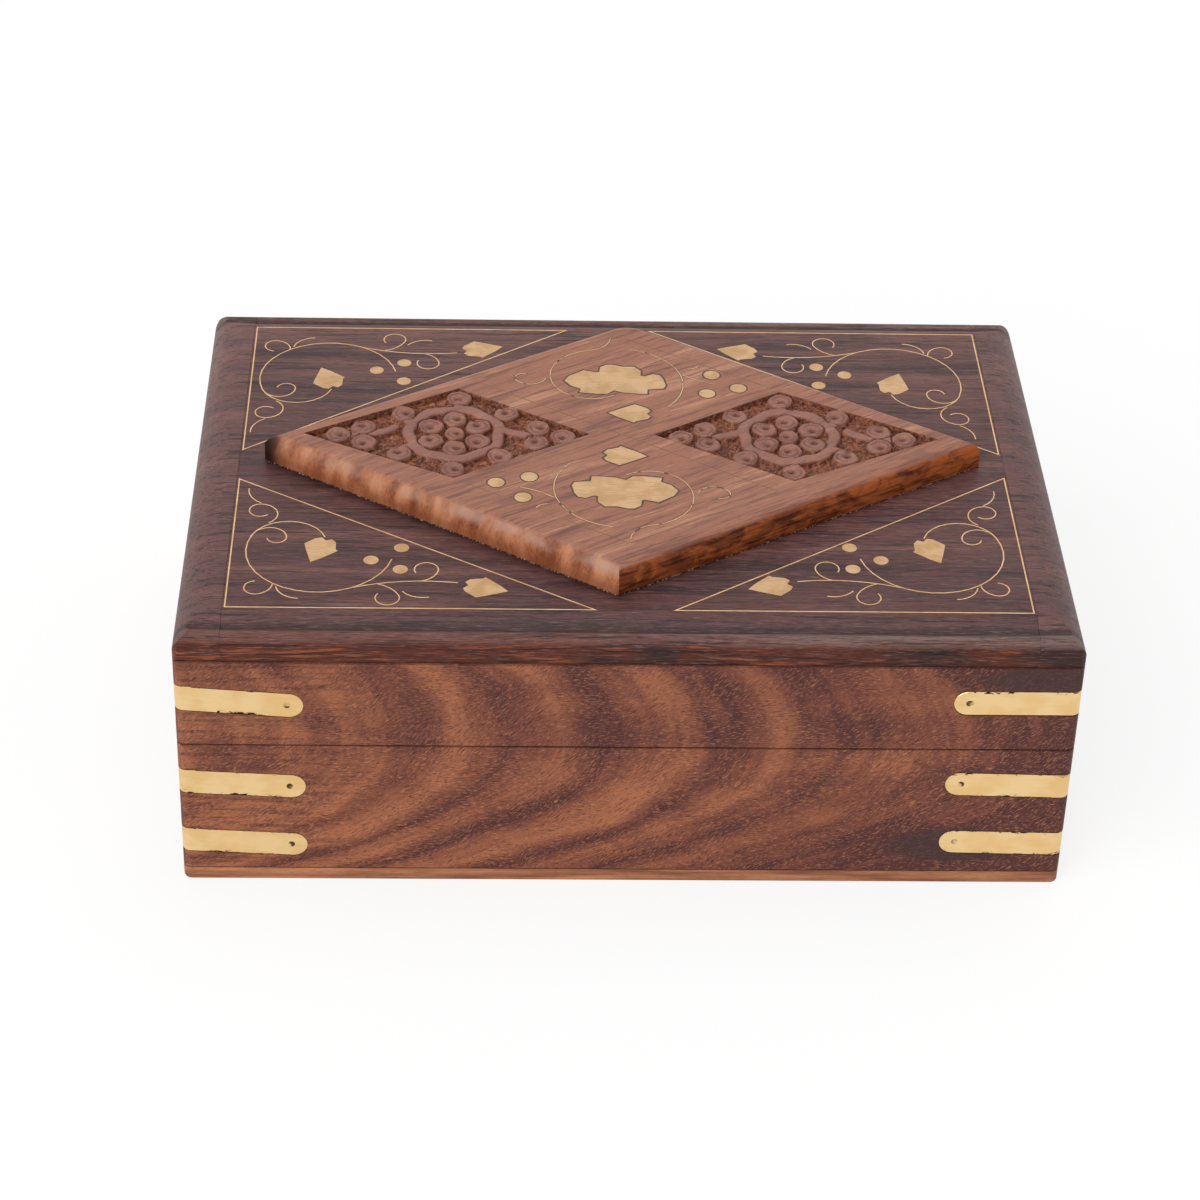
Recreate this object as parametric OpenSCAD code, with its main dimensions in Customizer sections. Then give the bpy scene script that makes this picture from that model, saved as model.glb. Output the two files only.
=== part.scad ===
// Hinged keepsake box in dark hardwood, with a carved and brass-inlaid lid.
// Millimetres. Origin at the centre of the underside, +X to the right, +Z up.
// The front of the box faces -Y and the hinges are along the back.

/* [Box] */
// Width over the side walls
body_w = 254; // [244:1:300]
// Depth from front to back
body_d = 176; // [170:1:220]
// Height of the base up to its rim, bottom board included
base_h = 48.6; // [46:0.1:80]
// Height of the lid from its rim to the flat of its top board
lid_h = 39.1; // [34:0.1:60]
// Gap between the two rims when the lid is shut
seam_gap = 0.3; // [0.3:0.1:0.6]
// Thickness of the walls of base and lid
wall_t = 10; // [9.6:0.1:14]
// Thickness of the bottom board
bottom_t = 4.2; // [3:0.1:8]
// Radius of the upright corners
corner_r = 2.5; // [1.5:0.1:4]

/* [Lid top board] */
// Thickness of the top board
top_t = 10.6; // [9:0.1:14]
// Width of the strip glued to each end of the top board
end_strip_w = 13.4; // [12.5:0.1:18]
// How far the round of the two short edges reaches in
side_round_w = 12; // [6:0.5:12]
// Height of the round of the two short edges
side_round_h = 8; // [4:0.5:8.5]
// Height of the widest line of the bead along the two long edges, above the underside
bead_mid = 4.2; // [3:0.1:5]
// How far the bead draws in at the underside
bead_tuck = 0.5; // [0:0.1:1]
// Distance of the bead's crest from the front and back faces
bead_in = 2.2; // [1.5:0.1:4]
// Depth of the bead's crest below the flat top
bead_drop = 1.8; // [0.5:0.1:2.5]
// How far the bead turns over before it meets the slope in a crease, in degrees
bead_turn = 110; // [80:5:130]
// Width of the gentle slope between the face and the flat top
slope_w = 11; // [8:0.5:11]

/* [Lozenge plate] */
// Length of the raised lozenge from tip to tip, along X
loz_w = 215; // [205:1:218]
// Width of the raised lozenge from tip to tip, along Y
loz_d = 139; // [135:1:142]
// Thickness of the raised lozenge
loz_t = 8.5; // [7:0.5:12]
// How far the front tip lies to the left of the middle, and the back tip to the right
loz_lean = 3.2; // [0:0.2:4]
// How far the rounded edge reaches in
loz_round_w = 4.6; // [2:0.2:6]
// Height of the rounded edge
loz_round_h = 6.6; // [3:0.2:6.8]
// How much the two long tips are blunted
loz_blunt = 1.6; // [0.5:0.1:3]

/* [Carved panels] */
// Depth of the ground cut away round the carving
ground_depth = 2.1; // [1.8:0.1:4.5]
// Outer radius of the ring round each rosette
ring_r = 14.6; // [13.8:0.1:15]
// Width of the carved ring
ring_w = 2.6; // [2:0.1:3]
// Radius of a rosette or flower disc
disc_r = 3.8; // [3.2:0.1:3.9]
// Radius of the disc in the middle of a rosette
eye_r = 3.2; // [2.6:0.1:3.6]
// Distance of the rosette discs from its middle
petal_ring = 8; // [7.9:0.1:8.1]
// Width of the carved stalks
stalk_w = 2.4; // [1.6:0.1:3]
// Depth of the hollow in each disc
dimple_depth = 1; // [0.5:0.1:1.4]

/* [Brass inlay] */
// Depth of all brass inlay
inlay_depth = 0.8; // [0.5:0.1:1.5]
// Width of the wire that frames the four corner fields
frame_wire_w = 0.4; // [0.3:0.05:1]
// Width of the scroll wire
scroll_wire_w = 0.35; // [0.3:0.05:0.7]
// Width of the thin lines on the lozenge
line_wire_w = 0.3; // [0.3:0.05:0.6]
// Gap left where one wire stops against another
wire_gap = 0.1; // [0.1:0.05:0.3]
// Diameter of the dots on the lid
dot_d = 4.3; // [3:0.1:5]
// Diameter of the dots on the lozenge
loz_dot_d = 4.9; // [3:0.1:5.5]
// Distance of the corner fields from the front and back faces
field_margin = 11.6; // [11.2:0.1:14]
// Distance of the corner fields from the end strips
field_seam = 0.6; // [0.3:0.1:2]

/* [Corner straps] */
// Length of each leg of a strap
strap_len = 36; // [25:1:50]
// Width of the straps
strap_w = 8.3; // [6:0.1:12]
// Thickness of the straps
strap_t = 0.8; // [0.5:0.1:1.2]
// Clearance round each strap in its recess
strap_fit = 0.05; // [0.05:0.05:0.2]
// Height of the lower straps on the base
strap_low_z = 14.6; // [10:0.1:18]
// Height of the upper straps on the base
strap_high_z = 35.7; // [30:0.1:38]
// Height of the lid straps above the lid rim
strap_lid_z = 16.2; // [8:0.1:20]
// Distance of each nail from the tip of its leg
nail_in = 4.5; // [3:0.1:6]
// Diameter of the nails
nail_d = 1.9; // [1:0.1:2.5]
// Length of the nails
nail_len = 6; // [3:0.5:8]

/* [Hinges] */
// Distance from each side face to the middle of its hinge
hinge_in = 52; // [43:1:90]
// Length of each hinge
hinge_len = 25; // [20:1:40]
// Length of the middle knuckle, which turns with the lid
knuckle_mid = 11.4; // [8:0.2:12]
// Gap between neighbouring knuckles
knuckle_gap = 0.3; // [0.3:0.05:0.6]
// Radius of the knuckles
knuckle_r = 2.2; // [1.8:0.1:2.3]
// Radius of the hinge pin
pin_r = 0.9; // [0.6:0.1:1.2]
// Running clearance round the pin
pin_fit = 0.05; // [0.03:0.01:0.1]
// Depth of each leaf from the pin's axis
leaf_w = 6.4; // [6:0.1:6.8]
// Thickness of the leaves
leaf_t = 1.2; // [0.8:0.1:1.6]
// Clearance between a knuckle and what it turns past
turn_gap = 0.35; // [0.3:0.05:0.6]
// Distance of the pin's axis from the back face
axis_in = 2.6; // [2.5:0.1:3]
// Slope of the bevels on the back rims, which stop the lid when they meet
bevel_angle = 50; // [46:1:60]
// Radius of the screw heads
screw_head_r = 1.5; // [1.2:0.1:1.6]
// Radius of the screw shanks
screw_r = 0.8; // [0.5:0.1:0.9]
// Length of the screws
screw_len = 8; // [5:0.5:12]
// Distance of each screw from the middle of its hinge
screw_x = 8.8; // [8:0.1:9]
// Distance of the screws from the pin's axis
screw_y = 4.5; // [4.4:0.1:4.8]

/* [Lining] */
// Thickness of the velvet-covered lining boards
lining_t = 1.2; // [0.8:0.1:2]
// Clearance round the lining boards
lining_fit = 0.1; // [0.05:0.05:0.3]
// How far the wall linings stop short of the rims
lining_drop = 1.6; // [1:0.1:4]

/* [Hidden] */
$fn = 48;

// Colours
dark_wood = [0.33, 0.2, 0.17];
red_wood = [0.45, 0.24, 0.16];
tan_wood = [0.62, 0.4, 0.29];
board_wood = [0.6, 0.36, 0.2];
brass = [0.83, 0.68, 0.42];
velvet = [0.4, 0.03, 0.06];

// Heights
lid_z = base_h + seam_gap;
top_z = lid_z + lid_h;
top_board_z = top_z - top_t;
seam_z = base_h + seam_gap / 2;
loz_top = top_z + loz_t;
floor_z = bottom_t + lining_t;
cut = 1;

// Plan of the lid
panel_x = body_w / 2 - end_strip_w;
field_x = panel_x - field_seam;
field_y = body_d / 2 - field_margin;
curve_steps = 10;

// The hinges and their pins' axis
hinge_x = body_w / 2 - hinge_in;
axis_y = body_d / 2 - axis_in;
housing_r = knuckle_r + turn_gap;

// The four corners in this order: front left, front right, back left, back right
FL = 0;
FR = 1;
BL = 2;
BR = 3;
corners = [FL, FR, BL, BR];
function to_right(c) = c == FR || c == BR;
function to_back(c) = c == BL || c == BR;

// Each corner was laid out by hand, so the fields and scrolls differ by a millimetre or two
tip_gap_x = [9.3, 11.8, 15.2, 9.8];
tip_gap_y = [10.9, 6.7, 4.4, 5.6];
scroll_shift = [[-0.8, 0], [0, 2], [-2.4, 1.8], [2, 1.8]];

// How far each strap's front or back leg runs out of level, in degrees, tip down positive
LOW = 0;
HIGH = 1;
LID = 2;
strap_z = [strap_low_z, strap_high_z, lid_z + strap_lid_z];
strap_tilt = [[2.8, -1.2, 1, 0], [2.8, -1.2, 0, 1], [4.2, 0, 1, -1]];
max_tilt = 5;

// Scroll strokes. Each is a start point, a heading in degrees and a run of arcs, every arc a
// radius and a sweep, positive to the left. A corner's strokes start from the field's corner.
// No chord of an arc turns more than arc_step degrees or is longer than arc_len. They are drawn
// for a field of drawn_field and shrink or grow with the real one.
drawn_field = [113, 76.4];
field_scale = min(field_x / drawn_field[0], field_y / drawn_field[1]);
arc_step = 15;
arc_len = 4;
main_scroll = [[27.3, 35.1], 106, [[11, 144], [21, 188]]];
leaf_stalk = [[35.6, 9.9], 20, [[60, -29]]];
corner_curls = [
    [[10.8, 42.2], 33, [[5.3, 142], [3.2, 229]]],
    [[8.1, 52.5], 150, [[8, -65]]],
    [[7.2, 37.3], 60, [[4.9, -150], [2.8, -170]]],
    [[13.6, 11.8], -88, [[5.2, -77], [3.2, -190]]],
    [[14.6, 10.2], -80, [[6.8, 78]]],
    [[55.2, 13.5], 15, [[6.5, 65], [3.4, 220]]],
    [[42.6, 12], -14, [[9.5, -53], [3.4, -240]]],
    [[50, 8.4], -55, [[7, 70]]]];
leaf_places = [[[25.8, 29], -108], [[73, 10.2], -12]];
dot_places = [[49.3, 30], [40.8, 23.7], [49.2, 19.2]];

// The outlines of the brass leaves, tip towards +X
leaf_outline = [
    [6.8, 0], [4, 2.3], [1.2, 4.1], [-0.8, 5.4], [-1.4, 4.6], [-4.8, 3.4], [-5.9, 1.8], [-4.7, 0.4],
    [-5.9, -1.2], [-5, -2.7], [-1.4, -4.9], [0.6, -3.8], [3.6, -2]];
vine_leaf_outline = [
    [-9.6, 8.2], [-8, 8.3], [-2.6, 7.7], [0.4, 6.4], [2.4, 8.4], [5.4, 8.5], [10.9, 7.7], [10.4, 5.7],
    [13.4, 3.9], [15.3, 1], [14, -1.6], [9.4, -5.1], [5.4, -3.9], [4.6, -4.2], [4.3, -7], [2.4, -8.4],
    [0.4, -8.5], [-2.6, -7.4], [-6.1, -7.5], [-8.1, -5.1], [-7.9, -2.2], [-9.2, -1.9], [-11.6, -3.2],
    [-13.7, -2.6], [-14.7, -0.6], [-15.4, 3.4], [-14.6, 5.1], [-9.8, 5.7]];

// The layout on the lozenge, from the crossing of its two long lines. The back half is the
// front half turned round. It is drawn for a lozenge of drawn_loz and follows the real one.
drawn_loz = [215, 139];
loz_scale = min(loz_w / drawn_loz[0], loz_d / drawn_loz[1]);
cross_at = [-0.5, 1.8];
ring_strokes = [
    [[0.5, -22], 35, [[12, -95], [15, -110], [8, 75]]],
    [[-15.4, -15.6], 228, [[20.3, 122]]],
    [[21, -31.6], 75, [[5, -130], [2.6, -150]]],
    [[-30.5, -28.9], -15, [[25, -26]]],
    [[-25.8, -39.6], 60, [[4, -60]]]];
vine_leaf_at = [0.1, -31.2];
front_leaf_at = [0.2, -11.9];
back_leaf_at = [3, 12];
back_shift = [-1.2, 0]; // The back half was laid out a little further left
loz_dots = [[-27.6, -23.5], [-37.2, -26.7], [-29.5, -34.3]];
line_left = [-46, -27];
line_tip = [0.5, -57.4];
line_right = [44.5, -30];

// One carved panel, as the left one lies, from the same crossing
panel_corners = [[-94, -1], [-48.5, 25], [-9.5, 0], [-49.5, -24.5]];
rosette_at = [-49.5, 0.4];
flower_discs = [
    [-84, -0.6], [-76.5, 3.6], [-76, -4.6], [-64.8, 11.4], [-65.6, -10.8], [-48.3, 20.2],
    [-49.8, -19], [-34.2, 11.6], [-36, -11.6], [-24.8, 4], [-25.4, -4.2], [-17.4, -0.6]];
flower_stalks = [
    [[-80, -0.4], 0, [[30, 14], [12, 30]]],
    [[-64.4, 8.6], -50, [[10, 30]]],
    [[-64.6, -8], 40, [[10, -30]]],
    [[-48.6, 17.4], -90, [[20, 10]]],
    [[-49.8, -16.2], 92, [[20, -10]]],
    [[-36, 9.4], 230, [[10, -24]]],
    [[-37.4, -9.6], 130, [[10, 24]]],
    [[-28, 0], 170, [[20, -20]]]];
relief_low = 0.3;
stalk_low = 0.5;
chamfer = 0.7;

// Points along a stroke, each with its heading
function stroke_points(p, h, arcs, i = 0) =
    i == len(arcs) ? [[p, h]] :
    let (side = sign(arcs[i][1]), r = arcs[i][0], a = arcs[i][1])
    let (centre = p + side * r * [-sin(h), cos(h)])
    let (n = max(2, ceil(abs(a) / arc_step), ceil(abs(a) * PI / 180 * r / arc_len)))
    concat(
        [for (k = [0 : n - 1]) let (t = h + a * k / n) [centre + side * r * [sin(t), -cos(t)], t]],
        stroke_points(centre + side * r * [sin(h + a), -cos(h + a)], h + a, arcs, i + 1));

// A stroke as a closed outline of one width, with its layout scaled by k
function stroke_outline(s, w, k = 1) =
    let (arcs = [for (a = s[2]) [k * a[0], a[1]]])
    let (p = stroke_points(k * s[0], s[1], arcs), last = len(p) - 1)
    concat(
        [for (q = p) q[0] + w / 2 * [-sin(q[1]), cos(q[1])]],
        [for (i = [last : -1 : 0]) p[i][0] - w / 2 * [-sin(p[i][1]), cos(p[i][1])]]);

// A quarter round from an upright face in to a flat top, as offsets in and up
function quarter_round(w, h) =
    [for (i = [0 : curve_steps]) let (t = 90 * i / curve_steps) [w * (1 - cos(t)), h * sin(t)]];

// The other half of a profile, in reverse order
function mirrored(points) =
    [for (i = [len(points) - 1 : -1 : 0]) [-points[i][0], points[i][1]]];

// A line from p to q, less a at its start and b at its end
function between(p, q, a, b) = let (d = (q - p) / norm(q - p)) [p + a * d, q - b * d];

module flip(x, y) {
    mirror([x ? 1 : 0, 0, 0]) mirror([0, y ? 1 : 0, 0]) children();
}

// Children are drawn for the front left corner, from that corner inward
module at_corner(c) {
    flip(to_right(c), to_back(c)) translate([-body_w / 2, -body_d / 2, 0]) children();
}

// The corner of the box in plan, drawn inset from the faces
module corner_plan(inset, reach) {
    r = corner_r - inset;
    translate([corner_r, inset]) square([reach, reach]);
    translate([inset, corner_r]) square([reach, reach]);
    translate([corner_r, corner_r]) circle(r);
}

// The whole footprint as an upright column with rounded corners
module column(z, h) {
    x = body_w / 2 - corner_r;
    y = body_d / 2 - corner_r;
    translate([-x, -body_d / 2, z]) cube([2 * x, body_d, h]);
    translate([-body_w / 2, -y, z]) cube([body_w, 2 * y, h]);
    for (sx = [-1, 1])
        for (sy = [-1, 1])
            translate([sx * x, sy * y, z]) cylinder(r = corner_r, h = h);
}

// One mitred board of a frame that is as large as the box
module mitred_board(side_board, far, z, h) {
    a = (side_board ? body_d : body_w) / 2;
    b = (side_board ? body_w : body_d) / 2;
    turn = side_board ? (far ? 90 : -90) : (far ? 180 : 0);
    intersection() {
        rotate([0, 0, turn]) translate([0, 0, z]) linear_extrude(h)
            polygon([[-a, -b], [a, -b], [a - wall_t, wall_t - b], [wall_t - a, wall_t - b]]);
        column(z, h);
    }
}

// Straps

// The outline of one leg, from the corner along its length
module leg_outline(fit) {
    translate([-corner_r, -strap_w / 2 - fit])
        square([strap_len - strap_w / 2 + corner_r, strap_w + 2 * fit]);
    translate([strap_len - strap_w / 2, 0]) circle(strap_w / 2 + fit);
}

module strap_solid(level, c, fit = 0) {
    h = strap_w + strap_len * sin(max_tilt) + cut;
    depth = 2 * corner_r;
    reach = strap_len + cut;
    at_corner(c) translate([0, 0, strap_z[level]]) intersection() {
        difference() {
            translate([0, 0, -h]) linear_extrude(2 * h) corner_plan(0, reach);
            translate([0, 0, -h - cut]) linear_extrude(2 * h + 2 * cut)
                corner_plan(strap_t + fit, reach + cut);
        }
        union() {
            rotate([0, strap_tilt[level][c], 0]) translate([0, depth, 0]) rotate([90, 0, 0])
                linear_extrude(depth + cut) leg_outline(fit);
            translate([-cut, 0, 0]) rotate([90, 0, 90]) linear_extrude(depth + cut) leg_outline(fit);
        }
    }
}

module strap_nails(level, c) {
    reach = strap_len - nail_in;
    at_corner(c) translate([0, 0, strap_z[level]]) {
        rotate([0, strap_tilt[level][c], 0]) translate([reach, 0, 0]) rotate([-90, 0, 0])
            cylinder(d = nail_d, h = nail_len);
        translate([0, reach, 0]) rotate([0, 90, 0]) cylinder(d = nail_d, h = nail_len);
    }
}

module strap(level, c) {
    color(brass) difference() {
        strap_solid(level, c);
        strap_nails(level, c);
    }
}

module strap_recesses(levels) {
    for (level = levels)
        for (c = corners) {
            strap_solid(level, c, strap_fit);
            strap_nails(level, c);
        }
}

// Hinges

module on_hinges() {
    for (x = [-hinge_x, hinge_x])
        translate([x, axis_y, seam_z]) children();
}

module bar_x(r, x0, x1) {
    translate([x0, 0, 0]) rotate([0, 90, 0]) cylinder(r = r, h = x1 - x0);
}

// Screws of one leaf, head face on the leaf, drawn for the base
module leaf_screws() {
    for (x = [-screw_x, screw_x])
        translate([x, -screw_y, -seam_gap / 2]) rotate([180, 0, 0]) {
            cylinder(r1 = screw_head_r, r2 = screw_r, h = screw_head_r - screw_r);
            cylinder(r = screw_r, h = screw_len);
        }
}

// One leaf with its knuckles, drawn for the base
module leaf(middle) {
    half = hinge_len / 2;
    inner = knuckle_mid / 2;
    outer = inner + knuckle_gap;
    difference() {
        union() {
            difference() {
                translate([-half, -leaf_w, -seam_gap / 2 - leaf_t]) cube([hinge_len, leaf_w, leaf_t]);
                if (middle) {
                    bar_x(housing_r, -half - cut, -inner);
                    bar_x(housing_r, inner, half + cut);
                } else {
                    bar_x(housing_r, -outer, outer);
                }
            }
            if (middle) {
                bar_x(knuckle_r, -inner, inner);
            } else {
                bar_x(knuckle_r, -half, -outer);
                bar_x(knuckle_r, outer, half);
            }
        }
        bar_x(pin_r + pin_fit, -half - cut, half + cut);
        leaf_screws();
    }
}

// What the base loses for its leaves, knuckles and screws
module hinge_pockets() {
    half = hinge_len / 2;
    on_hinges() {
        translate([-half, -leaf_w, -seam_gap / 2 - leaf_t]) cube([hinge_len, leaf_w, leaf_t + cut]);
        bar_x(housing_r, -half - knuckle_gap, half + knuckle_gap);
        leaf_screws();
    }
}

// The long bevel on the back rim of the base
module rim_bevel() {
    run = axis_in + cut;
    drop = run * tan(bevel_angle);
    translate([-body_w / 2 - cut, axis_y, base_h]) rotate([90, 0, 90])
        linear_extrude(body_w + 2 * cut) polygon([[0, 0], [run, -drop], [run, cut], [0, cut]]);
}

// Children drawn for the base, turned over onto the lid
module onto_lid() {
    translate([0, 0, 2 * seam_z]) mirror([0, 0, 1]) children();
}

// Base

module base_bottom_board() {
    color(board_wood) column(0, bottom_t);
}

module base_wall(side_board, far) {
    color(red_wood) difference() {
        mitred_board(side_board, far, bottom_t, base_h - bottom_t);
        strap_recesses([LOW, HIGH]);
        rim_bevel();
        if (far && !side_board) hinge_pockets();
    }
}

module base_front_wall() { base_wall(false, false); }
module base_back_wall() { base_wall(false, true); }
module base_left_wall() { base_wall(true, false); }
module base_right_wall() { base_wall(true, true); }

// A lining board for the floor or the underside of the top
module flat_lining(z) {
    x = body_w / 2 - wall_t - lining_fit;
    y = body_d / 2 - wall_t - lining_fit;
    translate([-x, -y, z]) cube([2 * x, 2 * y, lining_t]);
}

// Four boards that stand against the walls
module wall_linings(z0, z1) {
    x = body_w / 2 - wall_t - lining_fit;
    y = body_d / 2 - wall_t - lining_fit;
    for (s = [-1, 1]) {
        translate([-x, s * (y - lining_t / 2) - lining_t / 2, z0]) cube([2 * x, lining_t, z1 - z0]);
        translate([s * (x - lining_t / 2) - lining_t / 2, lining_t + lining_fit - y, z0])
            cube([lining_t, 2 * (y - lining_t - lining_fit), z1 - z0]);
    }
}

module base_floor_lining() { color(velvet) flat_lining(bottom_t); }
module base_wall_linings() { color(velvet) wall_linings(floor_z, base_h - lining_drop); }

module strap_base_low_front_left() { strap(LOW, FL); }
module strap_base_low_front_right() { strap(LOW, FR); }
module strap_base_low_back_left() { strap(LOW, BL); }
module strap_base_low_back_right() { strap(LOW, BR); }
module strap_base_high_front_left() { strap(HIGH, FL); }
module strap_base_high_front_right() { strap(HIGH, FR); }
module strap_base_high_back_left() { strap(HIGH, BL); }
module strap_base_high_back_right() { strap(HIGH, BR); }

module strap_nails_base() {
    color(brass) for (level = [LOW, HIGH])
        for (c = corners)
            strap_nails(level, c);
}

module base_leaf(x) {
    color(brass) translate([x, axis_y, seam_z]) leaf(false);
}

module hinge_pin(x) {
    color(brass) translate([x, axis_y, seam_z]) bar_x(pin_r, -hinge_len / 2, hinge_len / 2);
}

module hinge_left_base_leaf() { base_leaf(-hinge_x); }
module hinge_right_base_leaf() { base_leaf(hinge_x); }
module hinge_left_pin() { hinge_pin(-hinge_x); }
module hinge_right_pin() { hinge_pin(hinge_x); }
module hinge_screws_base() { color(brass) on_hinges() leaf_screws(); }

// Lid

module lid_rail(side_board, far) {
    color(red_wood) difference() {
        mitred_board(side_board, far, lid_z, top_board_z - lid_z);
        strap_recesses([LID]);
        onto_lid() rim_bevel();
        if (far && !side_board) onto_lid() hinge_pockets();
    }
}

module lid_front_rail() { lid_rail(false, false); }
module lid_back_rail() { lid_rail(false, true); }
module lid_left_rail() { lid_rail(true, false); }
module lid_right_rail() { lid_rail(true, true); }

// The top board's two edge profiles cross: a quarter round over the short edges and a bead
// along the long ones
module top_board() {
    a = body_w / 2;
    b = body_d / 2;
    side = [for (q = quarter_round(side_round_w, side_round_h))
        [a - q[0], top_t - side_round_h + q[1]]];
    rise = top_t - bead_drop - bead_mid;
    long_edge = concat(
        [for (i = [0 : curve_steps]) let (t = bead_turn * i / curve_steps)
            [b - bead_in * (1 - cos(t)), bead_mid + rise * sin(t)]],
        [[b - slope_w, top_t]]);
    underside = b - bead_tuck;
    translate([0, 0, top_board_z]) intersection() {
        translate([0, b + cut, 0]) rotate([90, 0, 0]) linear_extrude(body_d + 2 * cut)
            polygon(concat([[-a, 0], [a, 0]], side, mirrored(side)));
        translate([-a - cut, 0, 0]) rotate([90, 0, 90]) linear_extrude(body_w + 2 * cut)
            polygon(concat([[-underside, 0], [underside, 0]], long_edge, mirrored(long_edge)));
        column(0, top_t);
    }
}

module lid_top_panel() {
    color(dark_wood) difference() {
        intersection() {
            top_board();
            translate([-panel_x, -body_d, top_board_z - cut])
                cube([2 * panel_x, 2 * body_d, top_t + 2 * cut]);
        }
        frame_wires(cut);
        scroll_wires(cut);
        leaf_inlays(cut);
        dot_inlays(cut);
    }
}

module end_strip(s) {
    color(dark_wood) intersection() {
        top_board();
        translate([s > 0 ? panel_x : -body_w, -body_d, top_board_z - cut])
            cube([body_w - panel_x, 2 * body_d, top_t + 2 * cut]);
    }
}

module lid_end_strip_left() { end_strip(-1); }
module lid_end_strip_right() { end_strip(1); }
module lid_top_lining() { color(velvet) flat_lining(top_board_z - lining_t); }
module lid_wall_linings() { color(velvet) wall_linings(lid_z + lining_drop, top_board_z - lining_t); }
module strap_lid_front_left() { strap(LID, FL); }
module strap_lid_front_right() { strap(LID, FR); }
module strap_lid_back_left() { strap(LID, BL); }
module strap_lid_back_right() { strap(LID, BR); }
module strap_nails_lid() { color(brass) for (c = corners) strap_nails(LID, c); }

module lid_leaf(x) {
    color(brass) translate([x, axis_y, 0]) onto_lid() translate([0, 0, seam_z]) leaf(true);
}

module hinge_left_lid_leaf() { lid_leaf(-hinge_x); }
module hinge_right_lid_leaf() { lid_leaf(hinge_x); }
module hinge_screws_lid() { color(brass) onto_lid() on_hinges() leaf_screws(); }

// Brass inlay on the lid. Each module is drawn with extra height to cut its own grooves.

module inlay(z, extra) {
    translate([0, 0, z - inlay_depth]) linear_extrude(inlay_depth + extra) children();
}

// Children are drawn for the front left field, from its corner inward
module at_field(c) {
    flip(to_right(c), to_back(c)) translate([-field_x, -field_y, 0]) children();
}

// A right-angled triangle of wire: the inner edge is the outer one shrunk to its incentre
module frame_wires(extra = 0) {
    for (c = corners) {
        a = field_x - tip_gap_x[c];
        b = field_y - tip_gap_y[c];
        r = (a + b - norm([a, b])) / 2;
        k = 1 - frame_wire_w / r;
        outer = [[0, 0], [a, 0], [0, b]];
        at_field(c) difference() {
            inlay(top_z, extra) polygon(outer);
            translate([0, 0, -cut]) inlay(top_z, extra + 2 * cut)
                polygon([for (p = outer) [r, r] + k * (p - [r, r])]);
        }
    }
}

module stroke(s, w, extra) {
    inlay(top_z, extra) polygon(stroke_outline(s, w, field_scale));
}

// Side wires stop just short of the wire they spring from
module scroll_wires(extra = 0) {
    wide = scroll_wire_w + 2 * wire_gap;
    for (c = corners)
        at_field(c) translate([scroll_shift[c][0], scroll_shift[c][1], 0]) {
            stroke(main_scroll, scroll_wire_w, extra);
            difference() {
                stroke(leaf_stalk, scroll_wire_w, extra);
                translate([0, 0, -cut]) stroke(main_scroll, wide, 3 * cut);
            }
            difference() {
                for (s = corner_curls) stroke(s, scroll_wire_w, extra);
                translate([0, 0, -cut]) stroke(main_scroll, wide, 3 * cut);
                translate([0, 0, -cut]) stroke(leaf_stalk, wide, 3 * cut);
            }
        }
}

module leaf_inlays(extra = 0) {
    for (c = corners)
        at_field(c) translate([scroll_shift[c][0], scroll_shift[c][1], 0])
            for (p = leaf_places)
                translate(concat(field_scale * p[0], 0)) rotate([0, 0, p[1]])
                    inlay(top_z, extra) polygon(field_scale * leaf_outline);
}

module dot_inlays(extra = 0) {
    for (c = corners)
        at_field(c) translate([scroll_shift[c][0], scroll_shift[c][1], 0])
            for (p = dot_places)
                translate(concat(field_scale * p, top_z - inlay_depth))
                    cylinder(d = dot_d, h = inlay_depth + extra);
}

module lid_frame_wires() { color(brass) frame_wires(); }
module lid_scroll_wires() { color(brass) scroll_wires(); }
module lid_leaf_inlays() { color(brass) leaf_inlays(); }
module lid_dot_inlays() { color(brass) dot_inlays(); }

// Lozenge plate. Two long bars with rounded edges cross, so their sides meet in mitres.

module lozenge_blank() {
    a = loz_w / 2;
    b = loz_d / 2;
    translate([0, 0, top_z]) intersection() {
        rounded_bar([a + loz_lean, b]);
        rounded_bar([a - loz_lean, -b]);
        cylinder(r = a - loz_blunt, h = loz_t);
    }
}

// A long bar along a side of the lozenge, wide enough to reach both long tips
module rounded_bar(side) {
    half = loz_w / 2 * abs(side[1]) / norm(side);
    edge = [for (q = quarter_round(loz_round_w, loz_round_h))
        [half - q[0], loz_t - loz_round_h + q[1]]];
    rotate([0, 0, atan2(side[1], side[0])]) translate([-loz_w, 0, 0]) rotate([90, 0, 90])
        linear_extrude(2 * loz_w)
            polygon(concat([[-half, 0], [half, 0]], edge, mirrored(edge)));
}

module from_crossing() {
    translate(concat(loz_scale * cross_at, 0)) children();
}

// The panels mirror each other across the crossing
module both_panels() {
    from_crossing() {
        children();
        mirror([1, 0, 0]) children();
    }
}

// A turned disc with a chamfered rim and a hollow in its face
module carved_disc(p, r) {
    h = ground_depth + cut - relief_low;
    translate(concat(p, loz_top - ground_depth - cut)) rotate_extrude() polygon([
        [0, 0], [r, 0], [r, h - chamfer], [r - chamfer, h], [r / 2, h], [0, h - dimple_depth]]);
}

module carved_ring() {
    h = ground_depth + cut - relief_low;
    inner = ring_r - ring_w;
    translate(concat(loz_scale * rosette_at, loz_top - ground_depth - cut)) rotate_extrude() polygon([
        [inner, 0], [ring_r, 0], [ring_r, h - chamfer], [ring_r - chamfer, h],
        [inner + chamfer, h], [inner, h - chamfer]]);
}

module carved_stalk(s) {
    translate([0, 0, loz_top - ground_depth - cut])
        linear_extrude(ground_depth + cut - stalk_low) polygon(stroke_outline(s, stalk_w, loz_scale));
}

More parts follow.
